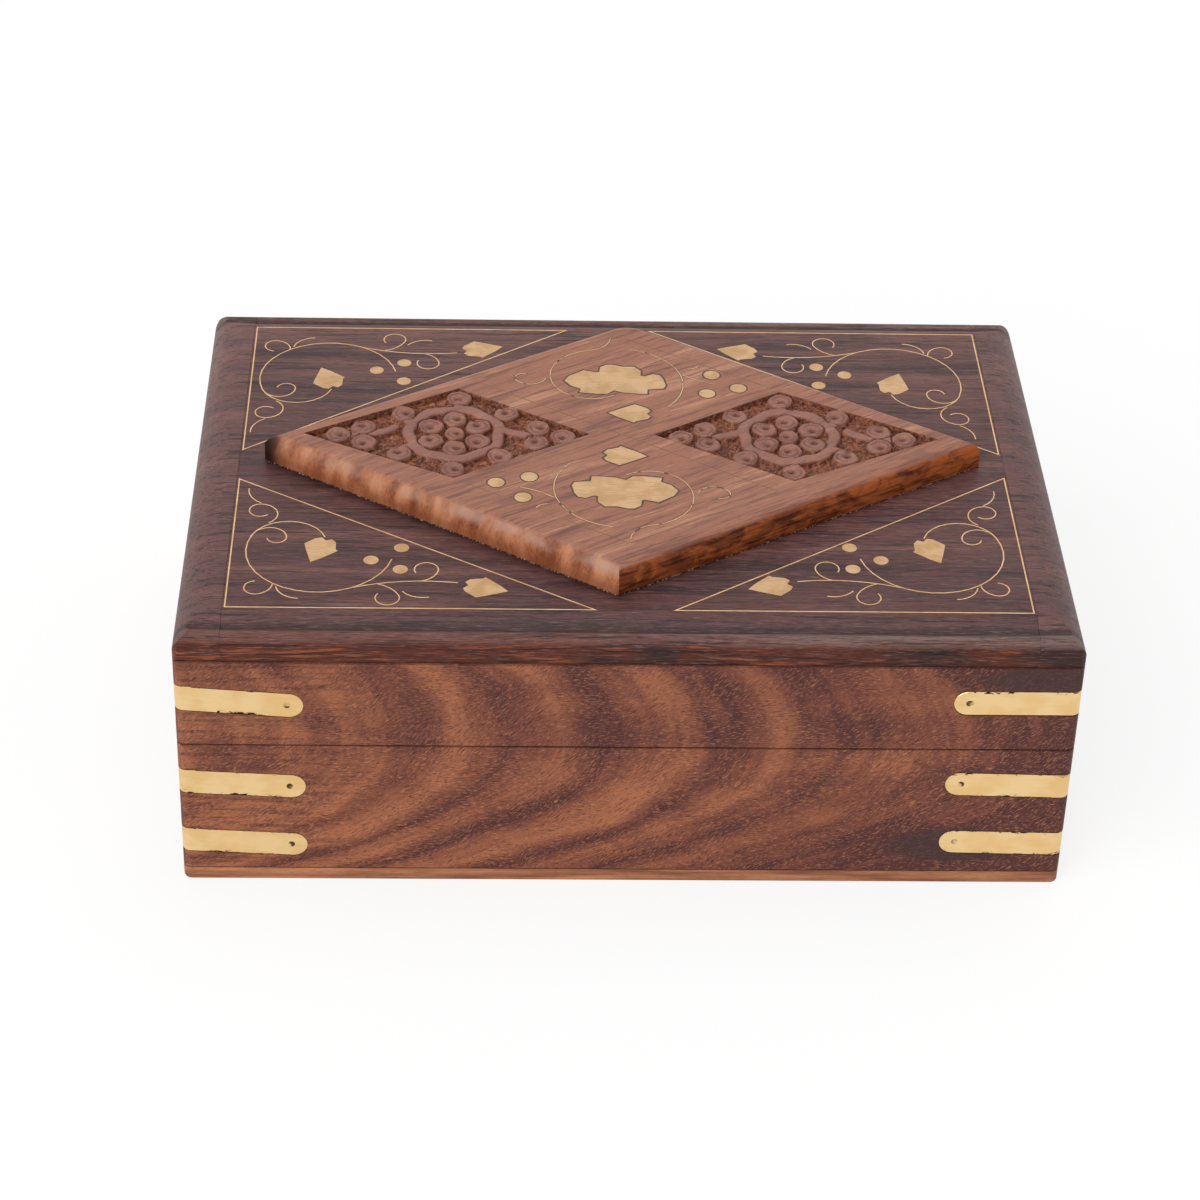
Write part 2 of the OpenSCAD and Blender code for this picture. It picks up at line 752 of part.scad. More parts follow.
// The relief that stands on the ground of one panel
module relief() {
    carved_disc(loz_scale * rosette_at, eye_r);
    for (i = [0 : 5])
        carved_disc(loz_scale * rosette_at + petal_ring * [sin(60 * i), cos(60 * i)], disc_r);
    carved_ring();
    for (p = flower_discs) carved_disc(loz_scale * p, disc_r);
    for (s = flower_stalks) carved_stalk(s);
}

module panel_ground() {
    translate([0, 0, loz_top - ground_depth]) linear_extrude(ground_depth + cut)
        polygon(loz_scale * panel_corners);
}

module lozenge_plate() {
    color(tan_wood) difference() {
        union() {
            difference() {
                lozenge_blank();
                both_panels() panel_ground();
            }
            both_panels() relief();
        }
        line_wires(cut);
        ring_wires(cut);
        loz_leaf_inlays(cut);
        loz_dot_inlays(cut);
    }
}

// The back half of the lozenge's layout is the front half turned round
module both_halves(shift = [0, 0]) {
    from_crossing() {
        children();
        translate(concat(loz_scale * shift, 0)) rotate([0, 0, 180]) children();
    }
}

function line_outline(p, q, w) =
    let (d = (q - p) / norm(q - p), n = w / 2 * [-d[1], d[0]])
    [p - n, q - n, q + n, p + n];

module line(p, q, extra) {
    inlay(loz_top, extra) polygon(line_outline(p, q, line_wire_w));
}

// Two crossing lines, and the two that close each half. Each stops short of the next.
module line_wires(extra = 0) {
    stop = line_wire_w + wire_gap;
    middle = [0, 0];
    left = loz_scale * line_left;
    tip = loz_scale * line_tip;
    right = loz_scale * line_right;
    spans = [
        between(left, tip, stop, stop), between(right, tip, stop, stop),
        between(right, middle, 0, stop), between(left, middle, 0, stop)];
    both_halves()
        for (s = spans) line(s[0], s[1], extra);
}

module ring_wires(extra = 0) {
    both_halves(back_shift)
        for (s = ring_strokes)
            inlay(loz_top, extra) polygon(stroke_outline(s, scroll_wire_w, loz_scale));
}

module loz_leaf(p, turn, outline, extra) {
    translate(concat(loz_scale * p, 0)) rotate([0, 0, turn])
        inlay(loz_top, extra) polygon(loz_scale * outline);
}

module loz_leaf_inlays(extra = 0) {
    both_halves(back_shift) loz_leaf(vine_leaf_at, 0, vine_leaf_outline, extra);
    from_crossing() {
        loz_leaf(front_leaf_at, 0, leaf_outline, extra);
        loz_leaf(back_leaf_at, 180, leaf_outline, extra);
    }
}

module loz_dot_inlays(extra = 0) {
    both_halves(back_shift)
        for (p = loz_dots)
            translate(concat(loz_scale * p, loz_top - inlay_depth))
                cylinder(d = loz_dot_d, h = inlay_depth + extra);
}

module lozenge_line_wires() { color(brass) line_wires(); }
module lozenge_scroll_wires() { color(brass) ring_wires(); }
module lozenge_leaf_inlays() { color(brass) loz_leaf_inlays(); }
module lozenge_dot_inlays() { color(brass) loz_dot_inlays(); }

base_bottom_board();
base_front_wall();
base_back_wall();
base_left_wall();
base_right_wall();
base_floor_lining();
base_wall_linings();
strap_base_low_front_left();
strap_base_low_front_right();
strap_base_low_back_left();
strap_base_low_back_right();
strap_base_high_front_left();
strap_base_high_front_right();
strap_base_high_back_left();
strap_base_high_back_right();
strap_nails_base();
hinge_left_base_leaf();
hinge_right_base_leaf();
hinge_left_pin();
hinge_right_pin();
hinge_screws_base();
lid_front_rail();
lid_back_rail();
lid_left_rail();
lid_right_rail();
lid_top_panel();
lid_end_strip_left();
lid_end_strip_right();
lid_top_lining();
lid_wall_linings();
strap_lid_front_left();
strap_lid_front_right();
strap_lid_back_left();
strap_lid_back_right();
strap_nails_lid();
hinge_left_lid_leaf();
hinge_right_lid_leaf();
hinge_screws_lid();
lid_frame_wires();
lid_scroll_wires();
lid_leaf_inlays();
lid_dot_inlays();
lozenge_plate();
lozenge_line_wires();
lozenge_scroll_wires();
lozenge_leaf_inlays();
lozenge_dot_inlays();
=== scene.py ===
import math

import bpy
import numpy as np
from mathutils import Matrix, Vector, noise


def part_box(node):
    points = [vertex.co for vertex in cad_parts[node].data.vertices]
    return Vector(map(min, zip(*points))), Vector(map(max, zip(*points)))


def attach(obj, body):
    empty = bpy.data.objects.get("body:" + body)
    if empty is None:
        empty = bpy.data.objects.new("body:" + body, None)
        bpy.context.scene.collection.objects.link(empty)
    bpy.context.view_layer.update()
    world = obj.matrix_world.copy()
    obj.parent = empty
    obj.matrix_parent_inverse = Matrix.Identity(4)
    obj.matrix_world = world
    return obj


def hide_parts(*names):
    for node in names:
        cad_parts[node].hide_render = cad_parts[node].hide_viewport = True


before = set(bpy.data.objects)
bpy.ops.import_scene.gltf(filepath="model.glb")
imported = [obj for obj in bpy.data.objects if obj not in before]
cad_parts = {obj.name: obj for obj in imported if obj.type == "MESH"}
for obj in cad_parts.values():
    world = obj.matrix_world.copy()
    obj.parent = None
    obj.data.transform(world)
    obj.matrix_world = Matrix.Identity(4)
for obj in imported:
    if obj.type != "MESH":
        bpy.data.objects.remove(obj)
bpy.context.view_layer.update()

mm = 0.001


# Small helpers for modelling

def selectOnly(piece):
    bpy.ops.object.select_all(action="DESELECT")
    piece.select_set(True)
    bpy.context.view_layer.objects.active = piece


def editMode(on=True, mode=(True, False, False)):
    bpy.context.tool_settings.mesh_select_mode = mode
    bpy.ops.object.mode_set(mode="EDIT" if on else "OBJECT")


def clearSelection(mesh):
    for part in (mesh.vertices, mesh.edges, mesh.polygons):
        part.foreach_set("select", [False] * len(part))


# Turns all faces of a closed shell outwards and leaves edit mode
def facesOutwards():
    bpy.ops.mesh.select_all(action="SELECT")
    bpy.ops.mesh.normals_make_consistent(inside=False)
    editMode(False)


def useMaterial(piece, material):
    piece.data.materials.clear()
    piece.data.materials.append(material)


# A merged copy of a CAD node's mesh, with its flat faces whole again. Without a name of its own
# it is called after its node.
def copyOf(nodeName, pieceName=None):
    title = nodeName.title().replace("_", "")
    pieceName = pieceName or title[0].lower() + title[1:]
    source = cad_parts[nodeName]
    piece = bpy.data.objects.new(pieceName, source.data.copy())
    bpy.context.scene.collection.objects.link(piece)
    selectOnly(piece)
    editMode()
    bpy.ops.mesh.select_all(action="SELECT")
    bpy.ops.mesh.remove_doubles(threshold=2e-6)
    bpy.ops.mesh.customdata_custom_splitnormals_clear()
    bpy.ops.mesh.dissolve_limited(angle_limit=math.radians(0.4))
    editMode(False)
    return piece


# Edges whose faces meet at more than minAngle degrees and whose ends pass the test
def selectSharpEdges(piece, minAngle, test):
    mesh = piece.data
    clearSelection(mesh)
    normals = {}
    for face in mesh.polygons:
        for key in face.edge_keys:
            normals.setdefault(key, []).append(face.normal)
    count = 0
    for edge in mesh.edges:
        pair = normals.get(edge.key, [])
        if len(pair) != 2 or pair[0].angle(pair[1], 0) < math.radians(minAngle):
            continue
        ends = [mesh.vertices[i].co for i in edge.vertices]
        if test(ends[0], ends[1]):
            edge.select = True
            for i in edge.vertices:
                mesh.vertices[i].select = True
            count += 1
    return count


def softenEdges(piece, width, test, minAngle=35, segments=2, clamp=False):
    selectOnly(piece)
    if selectSharpEdges(piece, minAngle, test) == 0:
        return
    editMode(mode=(False, True, False))
    bpy.ops.mesh.bevel(offset=width, segments=segments, affect="EDGES", clamp_overlap=clamp)
    editMode(False)


def smoothFaces(piece, angle=32):
    selectOnly(piece)
    bpy.ops.object.shade_smooth_by_angle(angle=math.radians(angle))
    weigh = piece.modifiers.new("weigh", "WEIGHTED_NORMAL")
    weigh.keep_sharp = True
    bpy.ops.object.modifier_apply(modifier=weigh.name)


def place(piece, body, slotName, *nodes):
    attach(piece, body)
    if nodes:
        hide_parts(*nodes)


# Small helpers for materials. They all add to the node tree that was set last.
tree = None


# Links an output to the socket, or types in a plain value
def feed(socket, value):
    if isinstance(value, bpy.types.NodeSocket):
        tree.links.new(value, socket)
    else:
        socket.default_value = value


def shaderNode(kind, inputs=None, **settings):
    made = tree.nodes.new("ShaderNode" + kind)
    for name, value in settings.items():
        setattr(made, name, value)
    for name, value in (inputs or {}).items():
        feed(made.inputs[name], value)
    return made


def mathNode(operation, a, b=0.0):
    return shaderNode("Math", {0: a, 1: b}, operation=operation).outputs[0]


def plus(a, b):
    return mathNode("ADD", a, b)


def minus(a, b):
    return mathNode("SUBTRACT", a, b)


def times(a, b):
    return mathNode("MULTIPLY", a, b)


def mapRange(value, low, high, outLow=0.0, outHigh=1.0):
    return shaderNode("MapRange", {
        "Value": value, "From Min": low, "From Max": high, "To Min": outLow, "To Max": outHigh,
    }, interpolation_type="SMOOTHSTEP").outputs[0]


# Coordinates in which a cell of the given size is 1 along each axis
def inCells(coords, size, shift):
    scale = [1 / length for length in size]
    return shaderNode("Mapping", {"Vector": coords, "Location": shift, "Scale": scale}).outputs[0]


# Noise whose cells have the given size in millimetres along each axis
def grainNoise(coords, size, detail=2.0, roughness=0.5, distortion=0.0, shift=(0, 0, 0)):
    return shaderNode("TexNoise", {
        "Vector": inCells(coords, size, shift), "Scale": 1.0, "Detail": detail, "Roughness": roughness,
        "Distortion": distortion}).outputs["Fac"]


# The same noise as a mask that rises from 0 at low to most at high
def noiseMask(coords, size, low, high, most=1.0, detail=3.0, roughness=0.6, distortion=0.0, shift=(0, 0, 0)):
    return mapRange(grainNoise(coords, size, detail, roughness, distortion, shift), low, high, 0.0, most)


def colourRamp(value, stops):
    ramp = shaderNode("ValToRGB", {"Fac": value})
    points = ramp.color_ramp.elements
    while len(points) < len(stops):
        points.new(0.5)
    for point, (position, colour) in zip(points, stops):
        point.position = position
        point.color = (*colour, 1)
    return ramp.outputs[0]


def mixColour(amount, a, b):
    a, b = (c if isinstance(c, bpy.types.NodeSocket) else (*c, 1) for c in (a, b))
    return shaderNode("Mix", {0: amount, 6: a, 7: b}, data_type="RGBA").outputs[2]


# Mixes in a tint where the value rises from low to high, at most by the amount most
def tinted(colour, value, low, high, most, tint):
    return mixColour(mapRange(value, low, high, 0.0, most), colour, tint)


def newMaterial(name):
    global tree
    material = bpy.data.materials.new(name)
    material.use_nodes = True
    tree = material.node_tree
    return material, tree.nodes["Principled BSDF"]


# Roughness goes from its first value to its second as the grain rises
def setFinish(shader, colour, grain, roughness, shine=0.5, metal=0.0):
    feed(shader.inputs["Base Color"], colour)
    feed(shader.inputs["Roughness"], mapRange(grain, 0.3, 0.7, *roughness))
    feed(shader.inputs["Specular IOR Level"], shine)
    feed(shader.inputs["Metallic"], metal)


# The X, Y and Z of a vector, or of the named texture coordinates
def axesOf(source="Object"):
    if isinstance(source, str):
        source = shaderNode("TexCoord").outputs[source]
    return shaderNode("SeparateXYZ", {0: source}).outputs


# Object coordinates in millimetres, turned so that the grain lies along X
def grainCoords(turn=(0, 0, 0)):
    coords = shaderNode("TexCoord").outputs["Object"]
    scaled = shaderNode("Mapping", {"Vector": coords, "Scale": (1000, 1000, 1000)})
    return shaderNode("Mapping", {
        "Vector": scaled.outputs[0], "Rotation": [math.radians(a) for a in turn]}).outputs[0]


def vectorMath(operation, a, b):
    return shaderNode("VectorMath", {0: a, 1: b}, operation=operation).outputs[0]


# Coordinates pushed about by soft clouds, by up to half the amount along each axis
def warped(coords, size, amount, shift=(0, 0, 0)):
    cloud = shaderNode("TexNoise", {"Vector": inCells(coords, size, shift), "Scale": 1.0, "Detail": 1.0})
    centred = vectorMath("SUBTRACT", cloud.outputs["Color"], (0.5, 0.5, 0.5))
    return vectorMath("ADD", coords, vectorMath("MULTIPLY", centred, amount))


def bumpFrom(shader, height, strength, distance):
    bump = shaderNode("Bump", {
        "Height": height, "Strength": strength, "Distance": distance * mm})
    feed(shader.inputs["Normal"], bump.outputs[0])


# Darkens upright faces near a joint that lies at the given height in millimetres
def jointLine(colour, height, width, amount, dark=(0.012, 0.005, 0.005)):
    upright = mapRange(mathNode("ABSOLUTE", axesOf("Normal")[2]), 0.95, 0.80)
    away = mathNode("ABSOLUTE", minus(axesOf()[2], height * mm))
    nearJoint = mapRange(away, width * mm, width * 0.55 * mm, 0, amount)
    return mixColour(times(nearJoint, upright), colour, dark)


# A soft spot, 1 in its middle and 0 outside, with its middle and radii in millimetres along X and Z
def softSpot(x, z, radiusX, radiusZ):
    spot = axesOf()
    alongX = mathNode("DIVIDE", minus(spot[0], x * mm), radiusX * mm)
    alongZ = mathNode("DIVIDE", minus(spot[2], z * mm), radiusZ * mm)
    away = plus(times(alongX, alongX), times(alongZ, alongZ))
    return mapRange(away, 1.0, 0.25)


# Heights of the joints between the boards, in millimetres
joints = {"bottomBoard": 4.2, "seam": 48.75, "lidBoard": 77.4, "lozengeFoot": 88.0}


# Box walls: nested dark arcs that run on from the base into the lid, and short oblique flecks.
# Places along the front are in millimetres from its middle. Each stain has its X, its Z and its
# radii along both.
wallLook = {
    "dark": (0.076, 0.025, 0.024), "mid": (0.172, 0.055, 0.035), "light": (0.325, 0.115, 0.056),
    "fleck": (0.47, 0.190, 0.092), "pore": (0.040, 0.015, 0.014), "grey": (0.045, 0.026, 0.026),
    "apexHeight": joints["seam"], "bendBelow": 0.036, "bendAbove": 0.014, "arcWander": 9.0, "arcSpan": 254,
    "arcs": [(-127, 0.72), (-92, 0.52), (-72, 0.70), (-58, 0.34), (-47, 0.78), (-32, 0.28), (-20, 0.72),
             (-6, 0.16), (4, 0.50), (16, 0.74), (30, 0.26), (42, 0.62), (60, 0.24), (78, 0.56),
             (98, 0.30), (127, 0.14)],
    "fleckTurns": (38, 8), "roughness": (0.46, 0.62), "shine": 0.14,
    "stains": [(118, 73, 24, 6), (96, 14, 26, 8)], "stainAmount": 0.75,
    "darkEnd": (-62, -100), "lidDarker": 0.14, "jointWidth": 0.42, "seamFade": (-120, -40),
    "seamShade": (0.3, 0.92), "lidBoardDark": 0.45, "bottomBoardDark": 0.92,
}


# Short marks that lean one way in some patches and another way in the rest
def leaningMarks(coords, patches, size, shift):
    layers = []
    for number, turn in enumerate(wallLook["fleckTurns"]):
        turned = shaderNode("Mapping", {"Vector": coords, "Rotation": (0, math.radians(turn), 0)})
        layers.append(grainNoise(turned.outputs[0], size, 2.0, 0.55, 0.0, (shift + number, 0, 0)))
    return shaderNode("Mix", {0: patches, 2: layers[0], 3: layers[1]}).outputs[0]


def wallWood(name, turn, shift):
    look = wallLook
    material, shader = newMaterial(name)
    coords = grainCoords(turn)
    swirl = warped(coords, (30, 60, 22), (look["arcWander"], 4, 5), shift)
    axes = axesOf(swirl)
    rise = minus(axes[2], look["apexHeight"])
    above = mathNode("GREATER_THAN", rise, 0.0)
    bend = shaderNode("Mix", {0: above, 2: look["bendBelow"], 3: look["bendAbove"]}).outputs[0]
    curve = times(times(rise, rise), bend)
    along = plus(axes[0], curve)
    span = look["arcSpan"]
    across = plus(times(along, 1 / span), 0.5)
    arcs = colourRamp(across, [(0.5 + x / span, (v, v, v)) for x, v in look["arcs"]])
    flame = shaderNode("CombineXYZ", {0: along, 1: axes[1], 2: axes[2]}).outputs[0]
    fine = grainNoise(flame, (7, 40, 60), 3.0, 0.6, 0.0, shift)
    clouds = grainNoise(coords, (34, 34, 14), shift=(7, 3, 1))
    tone = plus(arcs, minus(fine, 0.5))
    tone = plus(tone, times(minus(clouds, 0.5), 0.9))
    colour = colourRamp(tone, [(0.16, look["dark"]), (0.46, look["mid"]), (0.80, look["light"])])
    curly = warped(coords, (11, 9, 9), (3, 3, 3), (3, 1, 2))
    patches = noiseMask(coords, (22, 22, 22), 0.44, 0.56, 1.0, 1.0, 0.5, shift=(5, 5, 5))
    flecks = leaningMarks(curly, patches, (1.5, 0.27, 0.27), 0)
    pores = leaningMarks(curly, patches, (2.2, 0.25, 0.25), 4)
    fibre = noiseMask(coords, (26, 1.3, 1.3), 0.46, 0.62, 0.6, distortion=0.2, shift=(1, 6, 2))
    spot = axesOf(coords)
    atEnd = times(mapRange(spot[0], *look["darkEnd"]), fibre)
    colour = mixColour(atEnd, colour, look["dark"])
    colour = tinted(colour, flecks, 0.50, 0.68, 0.58, look["fleck"])
    poreMask = mapRange(pores, 0.50, 0.66, 0.0, 0.72)
    colour = mixColour(poreMask, colour, look["pore"])
    colour = mixColour(times(above, look["lidDarker"]), colour, look["dark"])
    for stain in look["stains"]:
        amount = times(softSpot(*stain), look["stainAmount"])
        colour = mixColour(amount, colour, look["grey"])
    # Painted shade in the gap of the seam between lid and base, deeper towards the right. The joints at the
    # lid board and the bottom board are darkened too.
    seamShade = mapRange(spot[0], *look["seamFade"], *look["seamShade"])
    for joint, amount in (("seam", seamShade), ("lidBoard", look["lidBoardDark"]),
                          ("bottomBoard", look["bottomBoardDark"])):
        colour = jointLine(colour, joints[joint], look["jointWidth"], amount)
    setFinish(shader, colour, flecks, look["roughness"], look["shine"])
    bumpFrom(shader, minus(flecks, poreMask), 0.35, 0.08)
    return material


# Lid top: dark straight-grained wood. The bead along the front and back turns deep red below and
# nearly black towards the right. Depths are metres from the box's middle line, heights are metres.
lidLook = {
    "dark": (0.038, 0.016, 0.017), "mid": (0.093, 0.035, 0.032), "light": (0.165, 0.068, 0.055),
    "black": (0.016, 0.009, 0.011), "grey": (0.24, 0.15, 0.135),
    "beadRed": (0.085, 0.022, 0.013), "beadGlow": (0.25, 0.066, 0.026), "beadBlack": (0.026, 0.015, 0.014),
    # The crest colours are a painted sheen on the bead's crest, and the crease colour is painted shade.
    "crest": (0.135, 0.052, 0.040), "crestGreySheen": (0.155, 0.092, 0.080), "crease": (0.026, 0.007, 0.006),
    "backWood": (0.185, 0.082, 0.064), "endWood": (0.190, 0.092, 0.080),
    "endAmount": 0.3, "beadDepths": (0.0828, 0.0833), "crestSheenHeights": (0.0830, 0.0852),
    "creaseShadeBack": (0.0800, 0.0824), "creaseShadeFront": (0.0842, 0.0834), "jointWidth": 0.3, "jointDark": 0.4,
    "lozengeHalf": (0.1075, 0.0695), "shadeReach": 1.10, "shadeDark": 0.62,
    "roughness": (0.32, 0.48), "shine": 0.22, "edgeShine": 0.12, "shineHeights": (0.0825, 0.0850),
}


# Along the profile: painted shade in the crease, a painted grey sheen on the crest of the bead, and below it
# deep red with orange glints
def beadColour(colour, coords, spot, depth, lines):
    look = lidLook
    dullness = grainNoise(coords, (38, 20, 20), shift=(8, 3, 3))
    toRight = plus(dullness, times(spot[0], 1.9))
    blackEnd = mapRange(toRight, 0.58, 0.70, 0.0, 0.85)
    lower = mixColour(mapRange(lines, 0.52, 0.64), look["beadRed"], look["beadGlow"])
    lower = mixColour(blackEnd, lower, look["beadBlack"])
    # Painted grey sheen on the upper part of the bead, greyer towards the right
    toGreySheen = mapRange(spot[0], -0.02, 0.07)
    crest = mixColour(toGreySheen, look["crest"], look["crestGreySheen"])
    crest = tinted(crest, lines, 0.46, 0.60, 0.6, look["beadRed"])
    bead = mixColour(mapRange(spot[2], *look["crestSheenHeights"]), lower, crest)
    colour = mixColour(mapRange(depth, *look["beadDepths"]), colour, bead)
    # Painted shade in the crease behind the bead, uneven along the grain
    creaseShadeBack = mapRange(depth, *look["creaseShadeBack"])
    creaseShadeFront = mapRange(depth, *look["creaseShadeFront"])
    uneven = mapRange(lines, 0.36, 0.54, 0.70, 1.0)
    creaseShadeMask = times(times(creaseShadeBack, creaseShadeFront), uneven)
    return mixColour(creaseShadeMask, colour, look["crease"])


# Shade that gathers on the lid along the lozenge's left front side
def lozengeShade(spot):
    look = lidLook
    alongX, alongY = (mathNode("DIVIDE", mathNode("ABSOLUTE", spot[i]), look["lozengeHalf"][i])
                      for i in (0, 1))
    nearSide = mapRange(plus(alongX, alongY), look["shadeReach"], 1.0, 0, look["shadeDark"])
    onLeft, onFront = (mapRange(spot[i], 4 * mm, -4 * mm) for i in (0, 1))
    return times(nearSide, times(onLeft, onFront))


def lidWood(name, turn, shift, crossBands=0.0):
    look = lidLook
    material, shader = newMaterial(name)
    coords = grainCoords(turn)
    wavy = warped(coords, (60, 16, 16), (0, 2.4, 2.4), shift)
    broad = grainNoise(wavy, (70, 7, 7), 3.0, 0.6, 0.2, shift)
    fine = grainNoise(wavy, (20, 0.7, 0.7), 3.0, 0.65, 0.0, shift)
    tone = plus(times(broad, 0.62), times(fine, 0.38))
    if crossBands:
        # the end strips show a paler, wavy figure
        ripple = grainNoise(coords, (40, 5.5, 40), 2.0, 0.5, 0.4, (2, 4, 6))
        ripple = times(minus(ripple, 0.5), crossBands)
        tone = plus(tone, ripple)
    colour = colourRamp(tone, [
        (0.38, look["dark"]), (0.47, look["mid"]), (0.55, look["mid"]), (0.63, look["light"])])
    spot = axesOf()
    depth = mathNode("ABSOLUTE", spot[1])
    lines = grainNoise(wavy, (16, 0.9, 0.9), 3.0, 0.65, 0.3, (5, 8, 3))
    if crossBands:
        colour = mixColour(look["endAmount"], colour, look["endWood"])
    atBack = times(mapRange(spot[1], 0.0, 0.07, 0, 0.5), mapRange(broad, 0.40, 0.55))
    colour = mixColour(atBack, colour, look["backWood"])
    colour = beadColour(colour, coords, spot, depth, lines)
    blackLines = noiseMask(wavy, (34, 1.1, 1.1), 0.54, 0.64, 0.8, distortion=0.2, shift=(9, 2, 7))
    colour = mixColour(blackLines, colour, look["black"])
    pores = noiseMask(wavy, (4.0, 0.24, 0.24), 0.50, 0.66, 0.7, 2.0, shift=(4, 4, 4))
    colour = mixColour(pores, colour, look["black"])
    glints = noiseMask(wavy, (5.0, 0.26, 0.26), 0.54, 0.72, 0.45, 2.0, shift=(14, 1, 4))
    colour = mixColour(glints, colour, look["grey"])
    colour = mixColour(lozengeShade(spot), colour, look["black"])
    colour = jointLine(colour, joints["lidBoard"], look["jointWidth"], look["jointDark"])
    shine = mapRange(spot[2], *look["shineHeights"], look["edgeShine"], look["shine"])
    setFinish(shader, colour, fine, look["roughness"], shine)
    bumpFrom(shader, minus(fine, pores), 0.35, 0.07)
    return material


# Lozenge: pinkish tan wood whose grain follows the right front side. The left side shows cross
# bands, the right side dark streaks and a glow. A side begins where the face leans past the
# limits in sideUpTo, for left and right. Heights and burntFrom are in metres.
lozengeLook = {
    "grainTurn": 32.1, "sideTurn": -33.7,
    "dark": (0.150, 0.062, 0.046), "mid": (0.318, 0.131, 0.080), "light": (0.460, 0.225, 0.135),
    "streak": (0.120, 0.048, 0.042),
    "leftDark": (0.150, 0.044, 0.023), "leftMid": (0.300, 0.102, 0.046), "leftLight": (0.440, 0.190, 0.100),
    "leftFootShade": (0.200, 0.058, 0.023), "leftCrestSheen": (0.400, 0.250, 0.190),
    "rightDark": (0.050, 0.013, 0.008), "rightMid": (0.160, 0.040, 0.015), "rightGlow": (0.350, 0.092, 0.024),
    "glue": (0.62, 0.50, 0.36),
    "burnt": (0.020, 0.008, 0.006), "ground": (0.230, 0.074, 0.036), "groundDark": (0.068, 0.023, 0.016),
    "carvedTop": (0.215, 0.094, 0.076), "chip": (0.44, 0.185, 0.095),
    "sideUpTo": (0.88, 0.70), "sideFade": (-0.11, 0.10), "burntFrom": (-0.098, -0.105),
    "footShadeHeights": (0.0935, 0.0895), "crestSheenHeights": (0.0925, 0.0950), "glueHeights": (0.0884, 0.0882),
    "glueAmount": 0.6, "jointWidth": 0.5, "jointDark": 0.85,
    "roughness": (0.36, 0.52), "shine": 0.25, "sideShine": 0.05,
}


def lozengeGrain(coords):
    look = lozengeLook
    wavy = warped(coords, (40, 10, 10), (0, 2.5, 2.5), (1, 2, 3))
    broad = grainNoise(wavy, (60, 5, 5), 3.0, 0.6, 0.3)
    fine = grainNoise(wavy, (12, 0.6, 0.6), 3.0, 0.65)
    tone = plus(times(broad, 0.6), times(fine, 0.4))
    colour = colourRamp(tone, [
        (0.36, look["dark"]), (0.46, look["mid"]), (0.54, look["mid"]), (0.64, look["light"])])
    streaks = noiseMask(wavy, (22, 1.0, 1.0), 0.54, 0.66, 0.7, distortion=0.4, shift=(6, 1, 8))
    colour = mixColour(streaks, colour, look["streak"])
    stains = noiseMask(wavy, (30, 4, 4), 0.56, 0.68, 0.5, 2.0, 0.5, 0.5, (9, 3, 3))
    colour = mixColour(stains, colour, look["dark"])
    pores = noiseMask(wavy, (2.8, 0.22, 0.22), 0.52, 0.68, 0.5, 2.0, shift=(4, 9, 2))
    return mixColour(pores, colour, look["streak"]), fine, pores, wavy


# Cross-banded wood of the left sides, in coordinates whose X runs along the side. It is painted darker
# towards the foot as shade, and has a painted grey-pink sheen in patches along the crest.
def bandedSide():
    look = lozengeLook
    coords = grainCoords((0, 0, -look["sideTurn"]))
    bent = warped(coords, (14, 14, 8), (5, 5, 2), (2, 2, 9))
    bands = grainNoise(bent, (4.2, 40, 14), 1.0, 0.5, 0.3, (1, 0, 0))
    fibre = grainNoise(bent, (0.5, 3, 1.2), 2.0, 0.6, 0.0, (0, 4, 0))
    tone = plus(times(bands, 0.72), times(fibre, 0.28))
    banded = colourRamp(tone, [
        (0.38, look["leftDark"]), (0.48, look["leftMid"]), (0.62, look["leftLight"])])
    spot = axesOf()
    # Painted shade on the lower, upright part of the side
    foot = mapRange(spot[2], *look["footShadeHeights"], 0, 0.6)
    banded = mixColour(foot, banded, look["leftFootShade"])
    # Painted grey-pink sheen in patches along the crest of the round, more of it towards the right
    sheenPatches = grainNoise(coords, (12, 12, 12), shift=(2, 6, 4))
    sheenPatches = plus(sheenPatches, times(spot[0], 1.5))
    onCrest = mapRange(spot[2], *look["crestSheenHeights"])
    crestSheenMask = times(mapRange(sheenPatches, 0.34, 0.56, 0.15, 0.6), onCrest)
    return mixColour(crestSheenMask, banded, look["leftCrestSheen"])


# Streaky wood of the right sides, glowing orange towards the right tip
def streakedSide(wavy, spot):
    look = lozengeLook
    streaks = grainNoise(wavy, (14, 3, 1.0), 3.0, 0.6, 0.3, (3, 7, 1))
    patches = grainNoise(wavy, (8, 8, 4), 3.0, 0.6, 0.6, (5, 7, 1))
    glow = plus(patches, times(spot[0], 1.4))
    dark = mixColour(mapRange(streaks, 0.38, 0.58), look["rightDark"], look["rightMid"])
    lit = times(mapRange(glow, 0.48, 0.68), mapRange(streaks, 0.30, 0.58, 0.35, 1))
    return mixColour(times(lit, 0.85), dark, look["rightGlow"])


